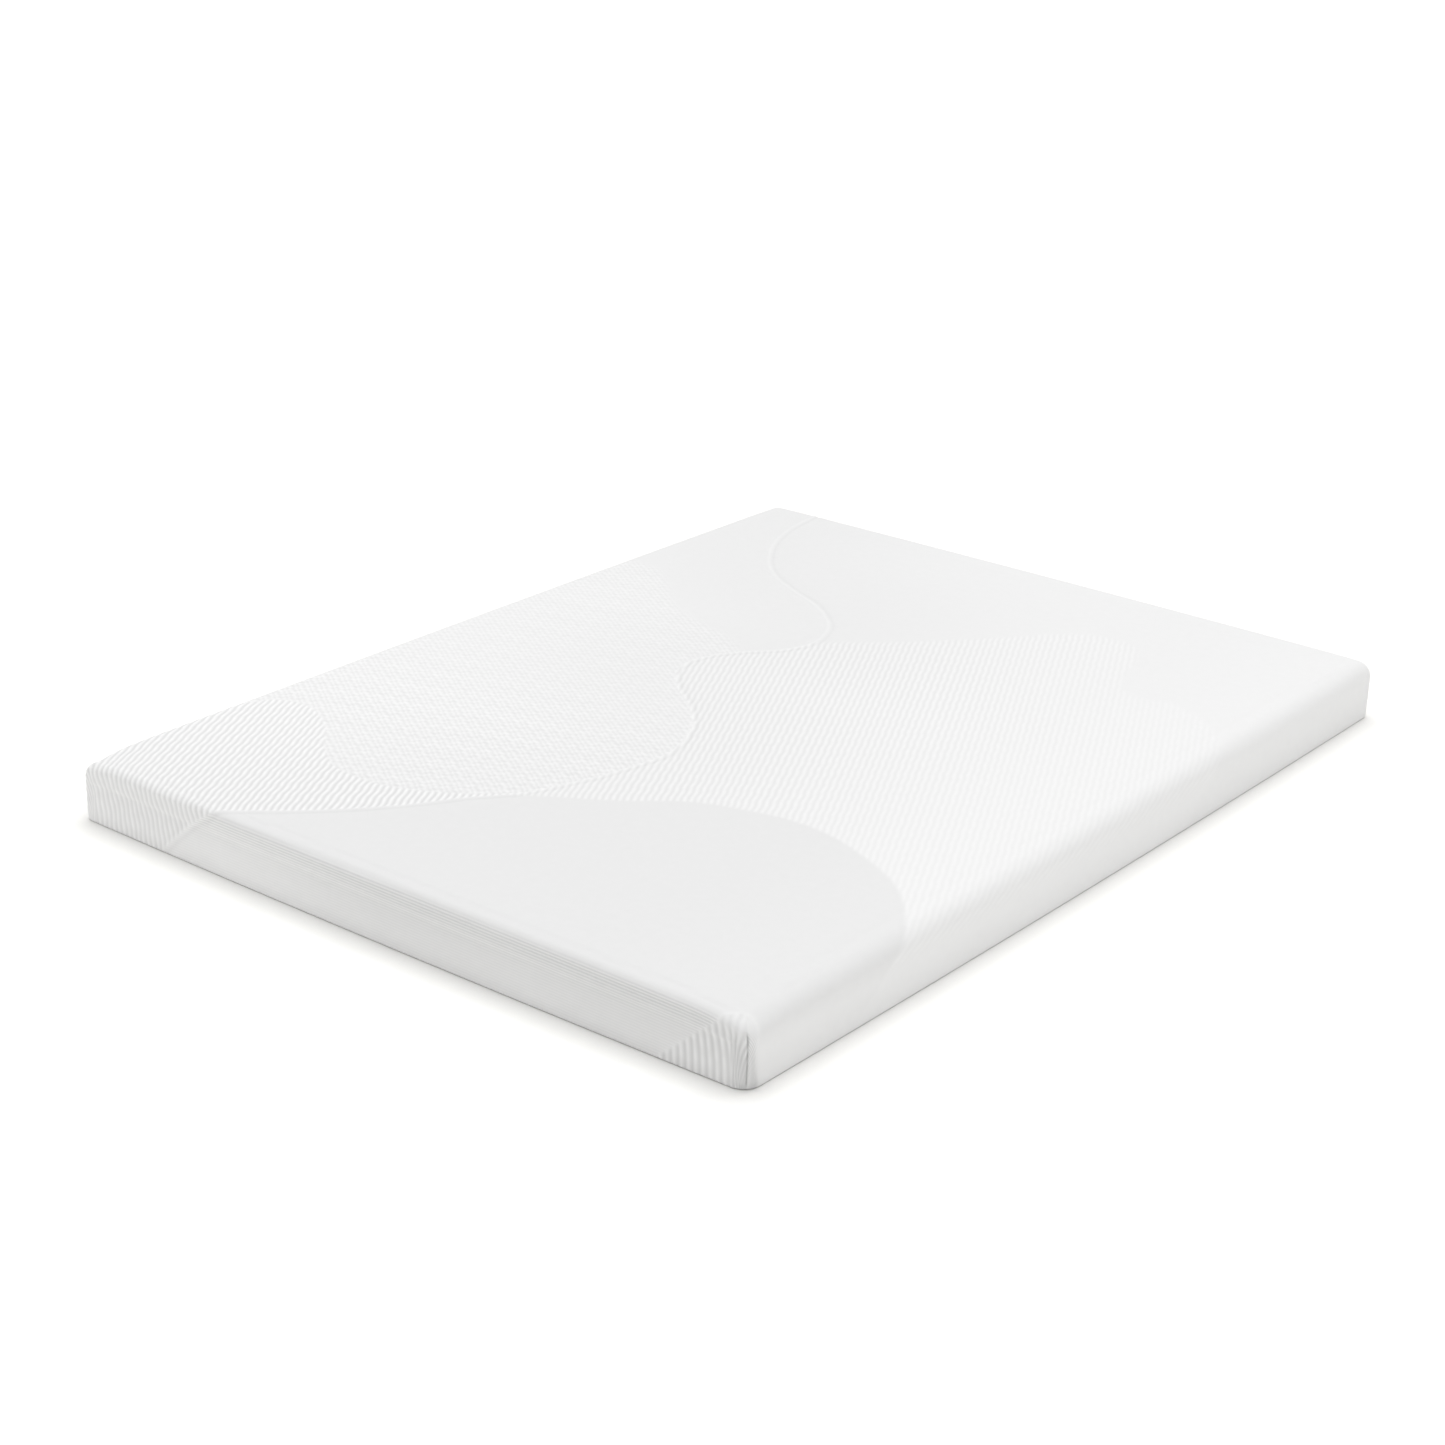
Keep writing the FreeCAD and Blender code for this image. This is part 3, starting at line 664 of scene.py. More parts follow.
def run_along(profile):
    """Distance run along a profile from the rim of the flat grid to each of its rings."""
    steps = np.diff(np.vstack([[CORE, HEIGHT], profile]), axis=0)
    return np.cumsum(np.hypot(steps[:, 0], steps[:, 1]))


# ---- the push of the foam, tried on a coarse copy of the cover as cloth

SWELL_MOST = 0.0022
SWELL_FRAMES = 16


def coarse_cover():
    """A coarse cover to try as cloth: its slab, its rings' numbers, its points and its piece."""
    slab = cover_slab(0.030, 0.032, 8)
    side, end, *_ = cover_rings(slab, 5, 3, 1)
    plan, height = [slab.grid], [np.full(slab.grid_size, HEIGHT)]
    numbers, faces = slab.skin(len(side))
    for number in range(len(side)):
        plan.append(slab.ring(side[number, 0], end[:, number, 0]))
        height.append(slab.mixed(side[number, 1], end[:, number, 1]))
    points = bowed_points(plan, height)
    return slab, numbers, points, mesh_object("cover_trial", points, faces)


def pin_and_press(cloth, pinned):
    """Give a piece its cloth settings: pinned vertices, and pressure from inside."""
    pins = cloth.vertex_groups.new(name="sewn")
    pins.add([int(n) for n in np.flatnonzero(pinned)], 1.0, "ADD")
    modifier = cloth.modifiers.new("cloth", "CLOTH")
    settings = modifier.settings
    settings.quality = 4
    settings.mass = 0.3
    settings.tension_stiffness = settings.compression_stiffness = 25
    settings.bending_stiffness = 0.4
    settings.air_damping = 4
    settings.vertex_group_mass = "sewn"
    settings.use_pressure = True
    settings.uniform_pressure_force = 2.5
    settings.effector_weights.gravity = 0
    modifier.point_cache.frame_start = 1
    modifier.point_cache.frame_end = SWELL_FRAMES


def cloth_swell():
    """How far the foam pushes the sewn cover out, on a coarse slab: its slab, rings and swell."""
    slab, numbers, points, cloth = coarse_cover()
    turn = slab.turns(len(numbers) - 1)
    sewn = (points[:, 2] < 0.012) | ((abs(turn - 0.5) < 0.01) & (points[:, 2] < 0.1))
    stitched = abs(distance_to(MAIN_LINE, points[:, 0], points[:, 1])) < 0.02
    pin_and_press(cloth, sewn | (stitched & (points[:, 2] > 0.1)))
    scene = bpy.context.scene
    for frame_number in range(1, SWELL_FRAMES + 1):
        scene.frame_set(frame_number)
    tried = cloth.evaluated_get(bpy.context.evaluated_depsgraph_get())
    moved = read_vectors(tried.data.vertices, "co") - points
    swell = (moved * read_vectors(cloth.data.vertices, "normal")).sum(axis=1)
    scene.frame_set(1)
    trial_mesh = cloth.data
    bpy.data.objects.remove(cloth)
    bpy.data.meshes.remove(trial_mesh)
    swell = SWELL_MOST * np.tanh(np.clip(swell, 0, None) / SWELL_MOST)
    return slab, numbers, swell


def reading_weights(fine, rough):
    """A matrix that reads values at rough places on to fine places, in straight lines."""
    return np.stack([np.interp(fine, rough, row) for row in np.eye(len(rough))], 1)


def spread_swell(slab, ring_places):
    """The coarse slab's swell read at the places of the fine one."""
    coarse, numbers, swell = cloth_swell()
    top = swell[: coarse.grid_size].reshape(len(coarse.xs), len(coarse.ys))
    top = reading_weights(slab.xs, coarse.xs) @ top @ reading_weights(slab.ys, coarse.ys).T
    around = np.stack(
        [np.interp(slab.station, coarse.station, swell[ring], period=8) for ring in numbers]
    )
    walls = reading_weights(ring_places, np.linspace(0, 1, len(numbers))) @ around
    return np.concatenate([top.ravel(), walls.ravel()])


# ---- the cover


def cover_places(slab, side, end, run_side, run_end):
    """The cover's points before its relief, and the same places on the unfolded cloth.

    After them come how far each place is down an end wall and down a side wall.
    """
    heading = slab.turn * math.pi / 2
    outward = np.stack([slab.sign_x * np.cos(heading), slab.sign_y * np.sin(heading)], 1)
    spread = np.where((slab.sign_x > 0) & (slab.sign_y < 0), CORNER_SPREAD, 0)
    nowhere = np.zeros(slab.grid_size)
    plan, height, cloth = [slab.grid], [nowhere + HEIGHT], [slab.grid]
    down_end, down_side = [nowhere], [nowhere]
    for number in range(len(side)):
        level = slab.mixed(side[number, 1], end[:, number, 1])
        share = CORNER_SHARE + spread * (1 - smoothstep(0.0, PILLOW_HIGH, level))
        run = slab.mixed(run_side[number], run_end[:, number])
        past = np.clip(run - (EDGE_LINE - CORE_Y), 0, None)
        height.append(level)
        plan.append(slab.ring(side[number, 0], end[:, number, 0], share))
        cloth.append(slab.base + outward * run[:, None])
        down_end.append(past * slab.blend)
        down_side.append(past * (1 - slab.blend))
    points = bowed_points(plan, height)
    cloth = np.vstack(cloth) + points[:, :2] - np.vstack(plan)
    return points, cloth, np.concatenate(down_end), np.concatenate(down_side)


def cover_faces(slab, ring_numbers, slit_top, slit_bottom):
    """Faces of the cover with its slit left open, and vertex numbers round the slit.

    They go along the slit's top, down, back along its bottom and up.
    """
    columns = slab.columns_of_end
    on_slit = np.zeros(slab.count, bool)
    on_slit[columns] = abs(slab.base[columns, 0]) < SLIT_HALF + 1e-6
    closed_here = ~(on_slit & np.roll(on_slit, -1))
    faces = [slab.grid_faces()]
    for number, (ring, following) in enumerate(zip(ring_numbers, ring_numbers[1:])):
        keep = closed_here if slit_top <= number < slit_bottom else None
        faces.extend(slab.ring_faces(ring, following, keep))
    stations = np.flatnonzero(on_slit)
    between = ring_numbers[slit_top + 1 : slit_bottom]
    rim = np.r_[
        ring_numbers[slit_top][stations],
        [ring[stations[-1]] for ring in between],
        ring_numbers[slit_bottom][stations][::-1],
        [ring[stations[0]] for ring in between[::-1]],
    ]
    return faces, rim


def slit_lip(start):
    """Rings that turn the slit's rim in to the face of the tapes, and each point's way inward."""
    above = start[:, 2] - SLIT_MIDDLE
    inward = np.zeros_like(start)
    inward[:, 0] = -np.sign(start[:, 0]) * (abs(start[:, 0]) > SLIT_HALF - 1e-5)
    inward[:, 2] = -np.sign(above) * (abs(above) > SLIT_HALF_TALL - 1e-5)
    lip = []
    for step in range(1, 4):
        angle = step / 3 * math.pi / 2
        place = start + inward * LIP_ROUND * math.sin(angle)
        place[:, 1] = start[:, 1] - LIP_ROUND * (1 - math.cos(angle))
        lip.append(place)
    rounded = lip[-1]
    for share in (0.5, 1.0):
        place = rounded.copy()
        place[:, 1] = (1 - share) * rounded[:, 1] + share * TAPE_FACE
        lip.append(place)
    return lip, inward


def seam_marks(seam_turn, z):
    """Relief of the upright seams, which draw the cloth in and gape at their tops, and their
    painted shade: dark in the crease and the gape, with a strip of painted highlight beside the
    crease.
    """
    across = (seam_turn - 0.5) * SEAM_RUN
    in_seam = smoothstep(0.004, 0.010, z) * (1 - smoothstep(0.086, 0.100, z))
    pucker = ridge(z, 0.090, 0.007)
    line = in_seam * ridge(across, 0, 0.0010)
    beside = in_seam * (ridge(across, 0.0038, 0.0022) + ridge(across, -0.0038, 0.0022))
    groove = 0.0009 * beside - 0.0018 * line - 0.0018 * pucker * ridge(across, 0, 0.0022)
    # painted shade in the seam's crease and in the gape at its top, less a strip of painted
    # highlight beside the crease
    dark = 0.20 * in_seam * ridge(across, 0, 0.0011) + 0.15 * pucker * ridge(across, 0, 0.0024)
    dark = dark - 0.03 * in_seam * ridge(across, -0.0045, 0.002)
    at_seam = seam_turn > 0
    return np.where(at_seam, groove, 0), np.where(at_seam, dark, 0)


def away_from_slit(points):
    """0 at the slit's rim and at the floor, and 1 a little away from both."""
    above = abs(points[:, 2] - SLIT_MIDDLE)
    from_slit = np.maximum(abs(points[:, 0]) - SLIT_HALF, above - SLIT_HALF_TALL)
    from_slit = np.where(points[:, 1] > 0.9, from_slit, 1)
    return smoothstep(0.0055, 0.020, from_slit) * smoothstep(0.0, 0.012, points[:, 2])


def away_from_label(points):
    """0 under the label and 1 a little away from it."""
    beside = np.hypot(
        np.clip(abs(points[:, 1] - LABEL_MIDDLE.y) - LABEL_HALF_Y, 0, None),
        np.clip(abs(points[:, 2] - LABEL_MIDDLE.z) - LABEL_HALF_Z, 0, None),
    )
    return np.where(points[:, 0] < -CORE_X, smoothstep(0.0, 0.014, beside), 1)


def cover_piece():
    slab = cover_slab(0.00266, 0.003325, 32)
    slit_steps = 8
    side, end, run_side, run_end, slit_top = cover_rings(slab, 26, 17, slit_steps)
    rings = len(side)
    body, cloth, down_end, down_side = cover_places(slab, side, end, run_side, run_end)
    ring_numbers = [slab.border] + [slab.ring_numbers(number) for number in range(rings)]
    faces, rim = cover_faces(slab, ring_numbers, slit_top, slit_top + slit_steps)
    start = body[rim]
    lip, inward = slit_lip(start)
    lip_numbers = [rim] + [
        len(body) + number * len(rim) + np.arange(len(rim)) for number in range(len(lip))
    ]
    for a, b in zip(lip_numbers, lip_numbers[1:]):
        faces.append(np.stack([a, np.roll(a, -1), np.roll(b, -1), b], 1))
    piece = mesh_object("cover", np.vstack([body] + lip), faces)
    normals = read_vectors(piece.data.vertices, "normal")[: len(body)]

    body[:, 2] -= corner_sink(body)
    seam_turn = slab.turns(rings)
    relief, tone, lines = pattern(cloth[:, 0], cloth[:, 1], down_end, down_side, seam_turn)
    groove, dark = seam_marks(seam_turn, body[:, 2])
    calm = away_from_slit(body)
    relief = relief * calm + groove
    swell = spread_swell(slab, (np.arange(rings) + 1) / rings)
    relief = relief + swell * calm * smoothstep(0.004, 0.020, body[:, 2])
    relief = relief * away_from_label(body)
    points = np.vstack([body + normals * relief[:, None]] + lip)
    piece.data.vertices.foreach_set("co", points.astype(np.float32).ravel())
    piece.data.update()

    extra = len(points) - len(body)
    # dark, the seams' painted shade, is taken off the tone
    set_float(piece, "tone", np.r_[tone - dark, np.ones(extra)])
    set_float(piece, "lines", np.r_[lines, np.zeros(extra)])
    way_in = np.stack([inward[:, 0], -inward[:, 2]], 1)
    unfolded = [cloth]
    for ring in lip:
        depth = np.linalg.norm(ring - start, axis=1)[:, None]
        unfolded.append(cloth[rim] + depth * way_in)
    unfolded = np.vstack(unfolded)
    set_vector(piece, "cloth", np.column_stack([unfolded, np.zeros(len(unfolded))]))
    return piece


cover = finish_piece(cover_piece(), cover_material(), stands_for=["cover_top"])


# ---- shared by the smaller pieces


def wall_at_back(x):
    """How far out the bowed end wall stands at each x."""
    return bowed(x, CORNER_Y + 0 * x)[1]


def tube_quads(sides, lengths, start=0):
    """Quads round a tube, from each ring of its points to the next, over so many lengths."""
    k = np.arange(sides)
    following = (k + 1) % sides
    ring = start + np.arange(lengths)[:, None] * sides
    quads = [ring + k, ring + following, ring + sides + following, ring + sides + k]
    return np.stack(quads, -1).reshape(-1, 4)


def unit(vectors):
    return vectors / np.linalg.norm(vectors, axis=1)[:, None]


def spokes(first, second, sides):
    """Unit vectors round each place, turning from its first vector towards its second."""
    angle = (np.arange(sides) * TAU / sides)[:, None]
    return first[:, None] * np.cos(angle) + second[:, None] * np.sin(angle)


def many_parts(name, points, blocks):
    """One mesh of like parts: points by part, and the blocks of faces of a single part."""
    shift = (np.arange(len(points)) * points.shape[1])[:, None, None]
    faces = [(block[None] + shift).reshape(-1, block.shape[1]) for block in blocks]
    return mesh_object(name, points.reshape(-1, 3), faces)


def stitches(name, path, normal, long=0.0026, gap=0.0012, thick=0.00035):
    """Threads end to end along a closed path, each a small spindle that dips in at both ends."""
    path = np.vstack([path, path[:1]])
    run = np.r_[0, np.cumsum(np.linalg.norm(np.diff(path, axis=0), axis=1))]
    count = int(run[-1] / (long + gap))
    starts = np.linspace(0, run[-1], count, endpoint=False)
    where = starts[:, None] + long * np.array([0, 0.18, 0.5, 0.82, 1])
    centre = np.stack([np.interp(where, run, path[:, axis]) for axis in range(3)], -1)
    ahead = unit(centre[:, -1] - centre[:, 0])
    normal = np.broadcast_to(np.asarray(normal, float), ahead.shape)
    aside = np.cross(normal, ahead)
    lift = np.array([-0.8, 0.1, 0.5, 0.1, -0.8])[:, None]
    centre = centre + normal[:, None] * thick * lift
    sides = 6
    rings = centre[:, 1:4, None] + thick * spokes(aside, normal, sides)[:, None]
    points = np.concatenate([centre[:, :1], rings.reshape(count, -1, 3), centre[:, -1:]], 1)
    k = np.arange(sides)
    following = (k + 1) % sides
    last_ring = 1 + 2 * sides
    tips = [
        np.stack([0 * k, 1 + following, 1 + k], 1),
        np.stack([0 * k + last_ring + sides, last_ring + k, last_ring + following], 1),
    ]
    piece = many_parts(name, points, [tube_quads(sides, 2, 1), np.vstack(tips)])
    return finish_piece(piece, THREAD)


def outline(inset, level, step=0.01):
    """A closed path at an inset from the sides, bowed with them, at one height."""
    slab = Slab(axis_points(CORE_X, step), axis_points(CORE_Y, step), corner_turns(12))
    ring = slab.ring(inset, inset)
    ring = ring[np.r_[True, np.linalg.norm(np.diff(ring, axis=0), axis=1) > 1e-6]]
    return bowed_points([ring], [np.full(len(ring), level)])


# ---- the base cloth, its grip dots and its seam

BASE_LEVEL = 0.0012
DOT_FIELD_X, DOT_FIELD_Y = 0.722, 0.972
DOT_STEP = 0.034
DOT_RADIUS = 0.0027
DOT_LOW = 0.0002


def base_panel_piece():
    slab = Slab(axis_points(CORE_X, 0.020), axis_points(CORE_Y, 0.020), corner_turns(12))
    rim = slab.ring(HEM_INSET, HEM_INSET)
    faces = [slab.grid_faces(upward=False)]
    faces.extend(block[:, ::-1] for block in slab.ring_faces(slab.border, slab.ring_numbers(0)))
    level = np.full(slab.grid_size + slab.count, BASE_LEVEL)
    return mesh_object("base_cloth", bowed_points([slab.grid, rim], [level]), faces)


def grip_dots_piece():
    """Small soft domes printed on the base cloth in staggered rows."""
    centres = [
        (x, y, 0)
        for row, y in enumerate(np.arange(-DOT_FIELD_Y, DOT_FIELD_Y + 0.001, DOT_STEP * 0.866))
        for x in np.arange(-DOT_FIELD_X + (row % 2) * DOT_STEP / 2, DOT_FIELD_X, DOT_STEP)
    ]
    sides = 12
    angle = np.arange(sides) * TAU / sides
    levels = [(1.0, BASE_LEVEL), (0.92, BASE_LEVEL - 0.0006), (0.62, DOT_LOW + 0.0001)]
    circle = np.stack([np.cos(angle), np.sin(angle)], 1)
    rings = [
        np.column_stack([share * DOT_RADIUS * circle, np.full(sides, level)])
        for share, level in levels
    ]
    dome = np.vstack(rings + [[[0, 0, DOT_LOW]]])
    k = np.arange(sides)
    tips = np.stack([2 * sides + k, 0 * k + 3 * sides, 2 * sides + (k + 1) % sides], 1)
    quads = tube_quads(sides, 2)[:, [0, 3, 2, 1]]  # the other way round, as a dome hangs down
    return many_parts("grip_dots", dome[None] + np.array(centres)[:, None], [quads, tips])


# ---- the zip's two rows of coil


COIL_PITCH = 0.0015
COIL_THICK = 0.00040  # radius of its thread
COIL_WIDE = 0.00175  # half of each turn, up and down
COIL_DEEP = 0.00080  # half of each turn, out from the tape
COIL_OFF = 0.00002


def coil_piece(name, middle, phase):
    """A nylon coil: one long thread wound in flat loops along the tape."""
    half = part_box("zip_coil_upper")[1][0]
    per_turn, sides = 10, 5
    count = int(2 * half / COIL_PITCH * per_turn)
    t = np.arange(count + 1) / per_turn
    angle = TAU * (t + phase)
    x = -half + COIL_THICK + t * COIL_PITCH * (1 - COIL_THICK / half)
    y = TAPE_FACE + COIL_THICK + COIL_DEEP + COIL_OFF + COIL_DEEP * np.cos(angle)
    centre = np.stack([x, y, middle + COIL_WIDE * np.sin(angle)], 1)
    ahead = unit(np.gradient(centre, axis=0))
    aside = unit(np.cross(ahead, [1.0, 0, 0]))
    points = centre[:, None] + COIL_THICK * spokes(aside, np.cross(ahead, aside), sides)
    caps = [np.arange(sides)[::-1], count * sides + np.arange(sides)]
    return mesh_object(name, points.reshape(-1, 3), [tube_quads(sides, count), caps])


# ---- the blank label on the wall at -X

LABEL_OFF = 0.0006
LABEL_SEAM_IN = 0.003  # from the label's rim to its stitches


def wall_at_left(y):
    """How far out the bowed side wall stands at each y."""
    return bowed(-CORNER_X + 0 * y, y)[0]


def label_piece():
    """A small cloth rectangle lying on the bowed wall, with its rim turned in against it."""
    columns, rows = 31, 21
    y = LABEL_MIDDLE.y + np.linspace(-LABEL_HALF_Y, LABEL_HALF_Y, columns)
    z = LABEL_MIDDLE.z + np.linspace(-LABEL_HALF_Z, LABEL_HALF_Z, rows)
    grid_y, grid_z = np.meshgrid(y, z, indexing="ij")
    lift = LABEL_OFF + 0.00012 * np.cos(grid_y * 190) * np.cos(grid_z * 150)
    lift[[0, -1], :] = lift[:, [0, -1]] = 0.0001
    points = np.stack([wall_at_left(grid_y) - lift, grid_y, grid_z], -1).reshape(-1, 3)
    index = np.arange(columns * rows).reshape(columns, rows)
    quads = [index[:-1, :-1], index[:-1, 1:], index[1:, 1:], index[1:, :-1]]
    return mesh_object("label", points, [np.stack([part.ravel() for part in quads], 1)])


def label_path():
    """The stitches' way round the label, in 20 steps a side."""
    corner_y = LABEL_MIDDLE.y + (LABEL_HALF_Y - LABEL_SEAM_IN) * np.array([-1, 1, 1, -1, -1])
    corner_z = LABEL_MIDDLE.z + (LABEL_HALF_Z - LABEL_SEAM_IN) * np.array([-1, -1, 1, 1, -1])
    share = np.arange(4 * 20) / 20
    y, z = (np.interp(share, range(5), corners) for corners in (corner_y, corner_z))
    return np.stack([wall_at_left(y) - LABEL_OFF - 0.0002, y, z], 1)


# ---- the filling: fire sock and foams


LAYER_CORNER_SHARE = 0.97  # the filling's upright corners are rounder than the cover's


def layer_piece(name, inset, low, high, top_round, under_round, groove):
    """A closed slab with rounded edges, hollowed behind the zip."""
    groove_half, groove_low, groove_high, groove_face = groove
    xs = np.union1d(axis_points(CORE_X, 0.03), [-groove_half, groove_half])
    slab = Slab(xs, axis_points(CORE_Y, 0.03), corner_turns(10))
    middle_level = max(low + under_round, min(high - top_round, groove_high + 0.0001))
    insets, heights = edge_profile(top_round, middle_level, 12, inset, high)
    groove_levels = np.array([groove_high, groove_low, groove_low - 0.0001])
    on_wall = (groove_levels > low + under_round) & (groove_levels < middle_level)
    wall = groove_levels[on_wall]
    angle = np.linspace(0, math.pi / 2, 6)
    insets = np.r_[insets, 0 * wall + inset, inset + under_round * (1 - np.cos(angle))]
    heights = np.r_[heights, wall, low + under_round * (1 - np.sin(angle))]
    rings = [slab.ring(place, place, LAYER_CORNER_SHARE) for place in insets]
    plan = [slab.grid, *rings, slab.grid]
    height = [
        np.full(slab.grid_size, high),
        np.repeat(heights, slab.count),
        np.full(slab.grid_size, low),
    ]
    numbers, faces = slab.skin(len(rings))
    start = slab.grid_size + len(rings) * slab.count
    faces.extend(slab.ring_faces(numbers[-1], start + slab.border))
    faces.append(slab.grid_faces(start, upward=False))
    points = bowed_points(plan, height)
    x, y, z = points.T
    in_groove = (abs(x) <= groove_half + 1e-4) & (z >= groove_low) & (z <= groove_high)
    points[:, 1] = np.where(in_groove, np.minimum(y, groove_face), y)
    points[:, 2] -= corner_sink(points)
    return mesh_object(name, points, faces)


# ---- finishes of the smaller pieces


def woven(name, color, pitch, across, contrast, depth, roughness=0.85):
    """Plain woven cloth: two crossing sets of yarns of one pitch."""
    m = Material(name, Roughness=roughness, Sheen_Weight=0.1)
    where = m.place()
    yarns = m.math("MULTIPLY", m.wave(where, pitch, "X"), m.wave(where, pitch, across))
    height = m.math("MULTIPLY_ADD", m.noise(where, 700.0), 0.5, yarns)
    return m.finish(m.ramp(height, 1 - contrast, color, 0.1, 0.8), m.bump(height, depth, 0.8))


def knitted(name, color):
    """A thin rib knit: fine wales all the way along, with a soft yarn."""
    m = Material(name, Roughness=0.92, Sheen_Weight=0.15)
    where = m.place()
    wales = m.wave(where, 0.0024, "X")
    loops = m.wave(where, 0.0016, "DIAGONAL")
    height = m.math("MULTIPLY_ADD", loops, 0.4, wales)
    return m.finish(m.ramp(height, 0.88, color, 0.1, 1.0), m.bump(height, 0.0003, 0.8))


def foamed(name, color, cell, dark):
    """Cut foam: small open cells, and a slow drift in tone."""
    m = Material(name, Roughness=0.95, Subsurface_Weight=0.05)
    m.surface.inputs["Subsurface Radius"].default_value = (0.004, 0.003, 0.002)
    where = m.place()
    cells = m.add("ShaderNodeTexVoronoi", Vector=where, Scale=1 / cell).outputs["Distance"]
    height = m.math("MULTIPLY_ADD", m.noise(where, 14.0, 4.0), 0.35, cells)
    return m.finish(m.ramp(height, dark, color, 0.15, 0.8), m.bump(cells, cell * 0.3, 0.7))


def metal(name):
    """Tumbled nickel plate."""
    m = Material(name, Metallic=1.0)
    grain = m.noise(m.place(), 1600.0)
    color = m.ramp(grain, (0.60, 0.59, 0.57), (0.74, 0.73, 0.70), 0.3, 0.7)
    rough = m.math("MULTIPLY_ADD", grain, 0.16, 0.24)
    return m.finish(color, m.bump(grain, 0.00002, 0.5), rough)


def plastic(name, color, grain_scale, depth, roughness):
    """Moulded plastic, rubber or glue with a fine grain."""
    m = Material(name, Roughness=roughness)
    grain = m.noise(m.place(), grain_scale)
    return m.finish(m.ramp(grain, 0.94, color, 0.35, 0.65), m.bump(grain, depth, 0.5))


def paint_node(node, material):
    """Give a CAD node its finish through its own material slots."""
    for place in node.material_slots:
        place.link = "OBJECT"
        place.material = material


THREAD = woven("thread", (0.88, 0.87, 0.84), 0.0006, "Y", 0.10, 0.00005)
BASE_CLOTH = woven("base_cloth", (0.62, 0.62, 0.61), 0.0011, "Y", 0.16, 0.0002)
TAPE_CLOTH = woven("zip_tape", (0.84, 0.84, 0.82), 0.0009, "Z", 0.10, 0.0001)
SEAM_CLOTH = woven("seam_cloth", (0.84, 0.84, 0.83), 0.0012, "Z", 0.08, 0.0001)
LABEL_CLOTH = woven("label_satin", (0.90, 0.90, 0.89), 0.0005, "Z", 0.05, 0.00005, 0.45)
COIL = plastic("zip_coil", (0.86, 0.86, 0.84), 900.0, 0.00002, 0.38)
RUBBER = plastic("grip_dot", (0.55, 0.56, 0.57), 600.0, 0.00004, 0.6)
GLUE = plastic("adhesive", (0.80, 0.76, 0.62), 300.0, 0.0001, 0.5)
METAL = metal("zip_metal")
SOCK = knitted("sock_knit", (0.86, 0.85, 0.80))
MEMORY_FOAM = foamed("memory_foam", (0.80, 0.74, 0.55), 0.0011, 0.86)
SUPPORT_FOAM = foamed("support_foam", (0.86, 0.86, 0.84), 0.0022, 0.78)

base_cloth = finish_piece(base_panel_piece(), BASE_CLOTH, stands_for=["base_panel"])
finish_piece(grip_dots_piece(), RUBBER)
stitches("base_stitching", outline(0.0175, BASE_LEVEL - 0.0004), (0, 0, -1))

SLIT_STITCH = 0.004  # from the slit's edge to the stitches round it
STITCH_LIFT = 0.00025


def slit_path():
    """The stitches' way round the slit."""
    half = SLIT_HALF + SLIT_STITCH
    low, high = SLIT_LOW - SLIT_STITCH, SLIT_HIGH + SLIT_STITCH
    across = np.linspace(-half, half, 200)
    up = np.linspace(low, high, 20)
    x = np.r_[across, 0 * up + half, across[::-1], 0 * up - half]
    z = np.r_[0 * across + low, up, 0 * across + high, up[::-1]]
    path = np.stack([x, wall_at_back(x) + STITCH_LIFT, z], 1)
    return path[np.linalg.norm(path - np.roll(path, 1, axis=0), axis=1) > 1e-7]


stitches("zip_stitching", slit_path(), (0, 1, 0), long=0.0030, thick=0.00042)

for coil_name, middle_z, phase, node_name in (
    ("coil_upper", 0.02475, 0.0, "zip_coil_upper"),
    ("coil_lower", 0.02125, 0.5, "zip_coil_lower"),
):
    finish_piece(coil_piece(coil_name, middle_z, phase), COIL, stands_for=[node_name])

label = finish_piece(label_piece(), LABEL_CLOTH, stands_for=["care_label"])
stitches("label_stitching", label_path(), (-1, 0, 0), long=0.0022, gap=0.0009, thick=0.00025)

# half length, low, high and face of the groove behind the zip
SOCK_GROOVE = (0.715, 0.009, 0.037, 0.9996)
FOAM_GROOVE = (0.716, 0.008, 0.038, 0.9986)
LAYERS = [
    # name, finish, slot, node, and the inset, low, high, top round, under round and groove
    ("sock", SOCK, "sock_knit", "fire_sock",
     (0.0032, 0.0032, 0.1168, 0.0305, 0.006, SOCK_GROOVE)),
    ("comfort_layer", MEMORY_FOAM, "memory_foam", "comfort_foam",
     (0.0042, 0.0778, 0.1158, 0.0292, 0.0008, FOAM_GROOVE)),
    ("support_layer", SUPPORT_FOAM, "support_foam", "support_foam",
     (0.0042, 0.0042, 0.0774, 0.0008, 0.0008, FOAM_GROOVE)),
]
for name, finish, slot, node_name, sizes in LAYERS:
    layer = finish_piece(layer_piece(name, *sizes), finish, stands_for=[node_name])

NODE_FINISHES = [
    (TAPE_CLOTH, ["zip_tape_upper", "zip_tape_lower"]),
    (METAL, ["zip_top_stops", "zip_bottom_stop", "zip_slider_body", "zip_pull_tab"]),
    (THREAD, ["base_seam"]),
    (GLUE, ["adhesive_layer"]),
    (SEAM_CLOTH, ["corner_seam_front_right", "corner_seam_front_left"]),
    (SEAM_CLOTH, ["corner_seam_back_right", "corner_seam_back_left"]),
]
for finish, node_names in NODE_FINISHES:
    for node_name in node_names:
        paint_node(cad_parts[node_name], finish)


# ---- floor, light and camera

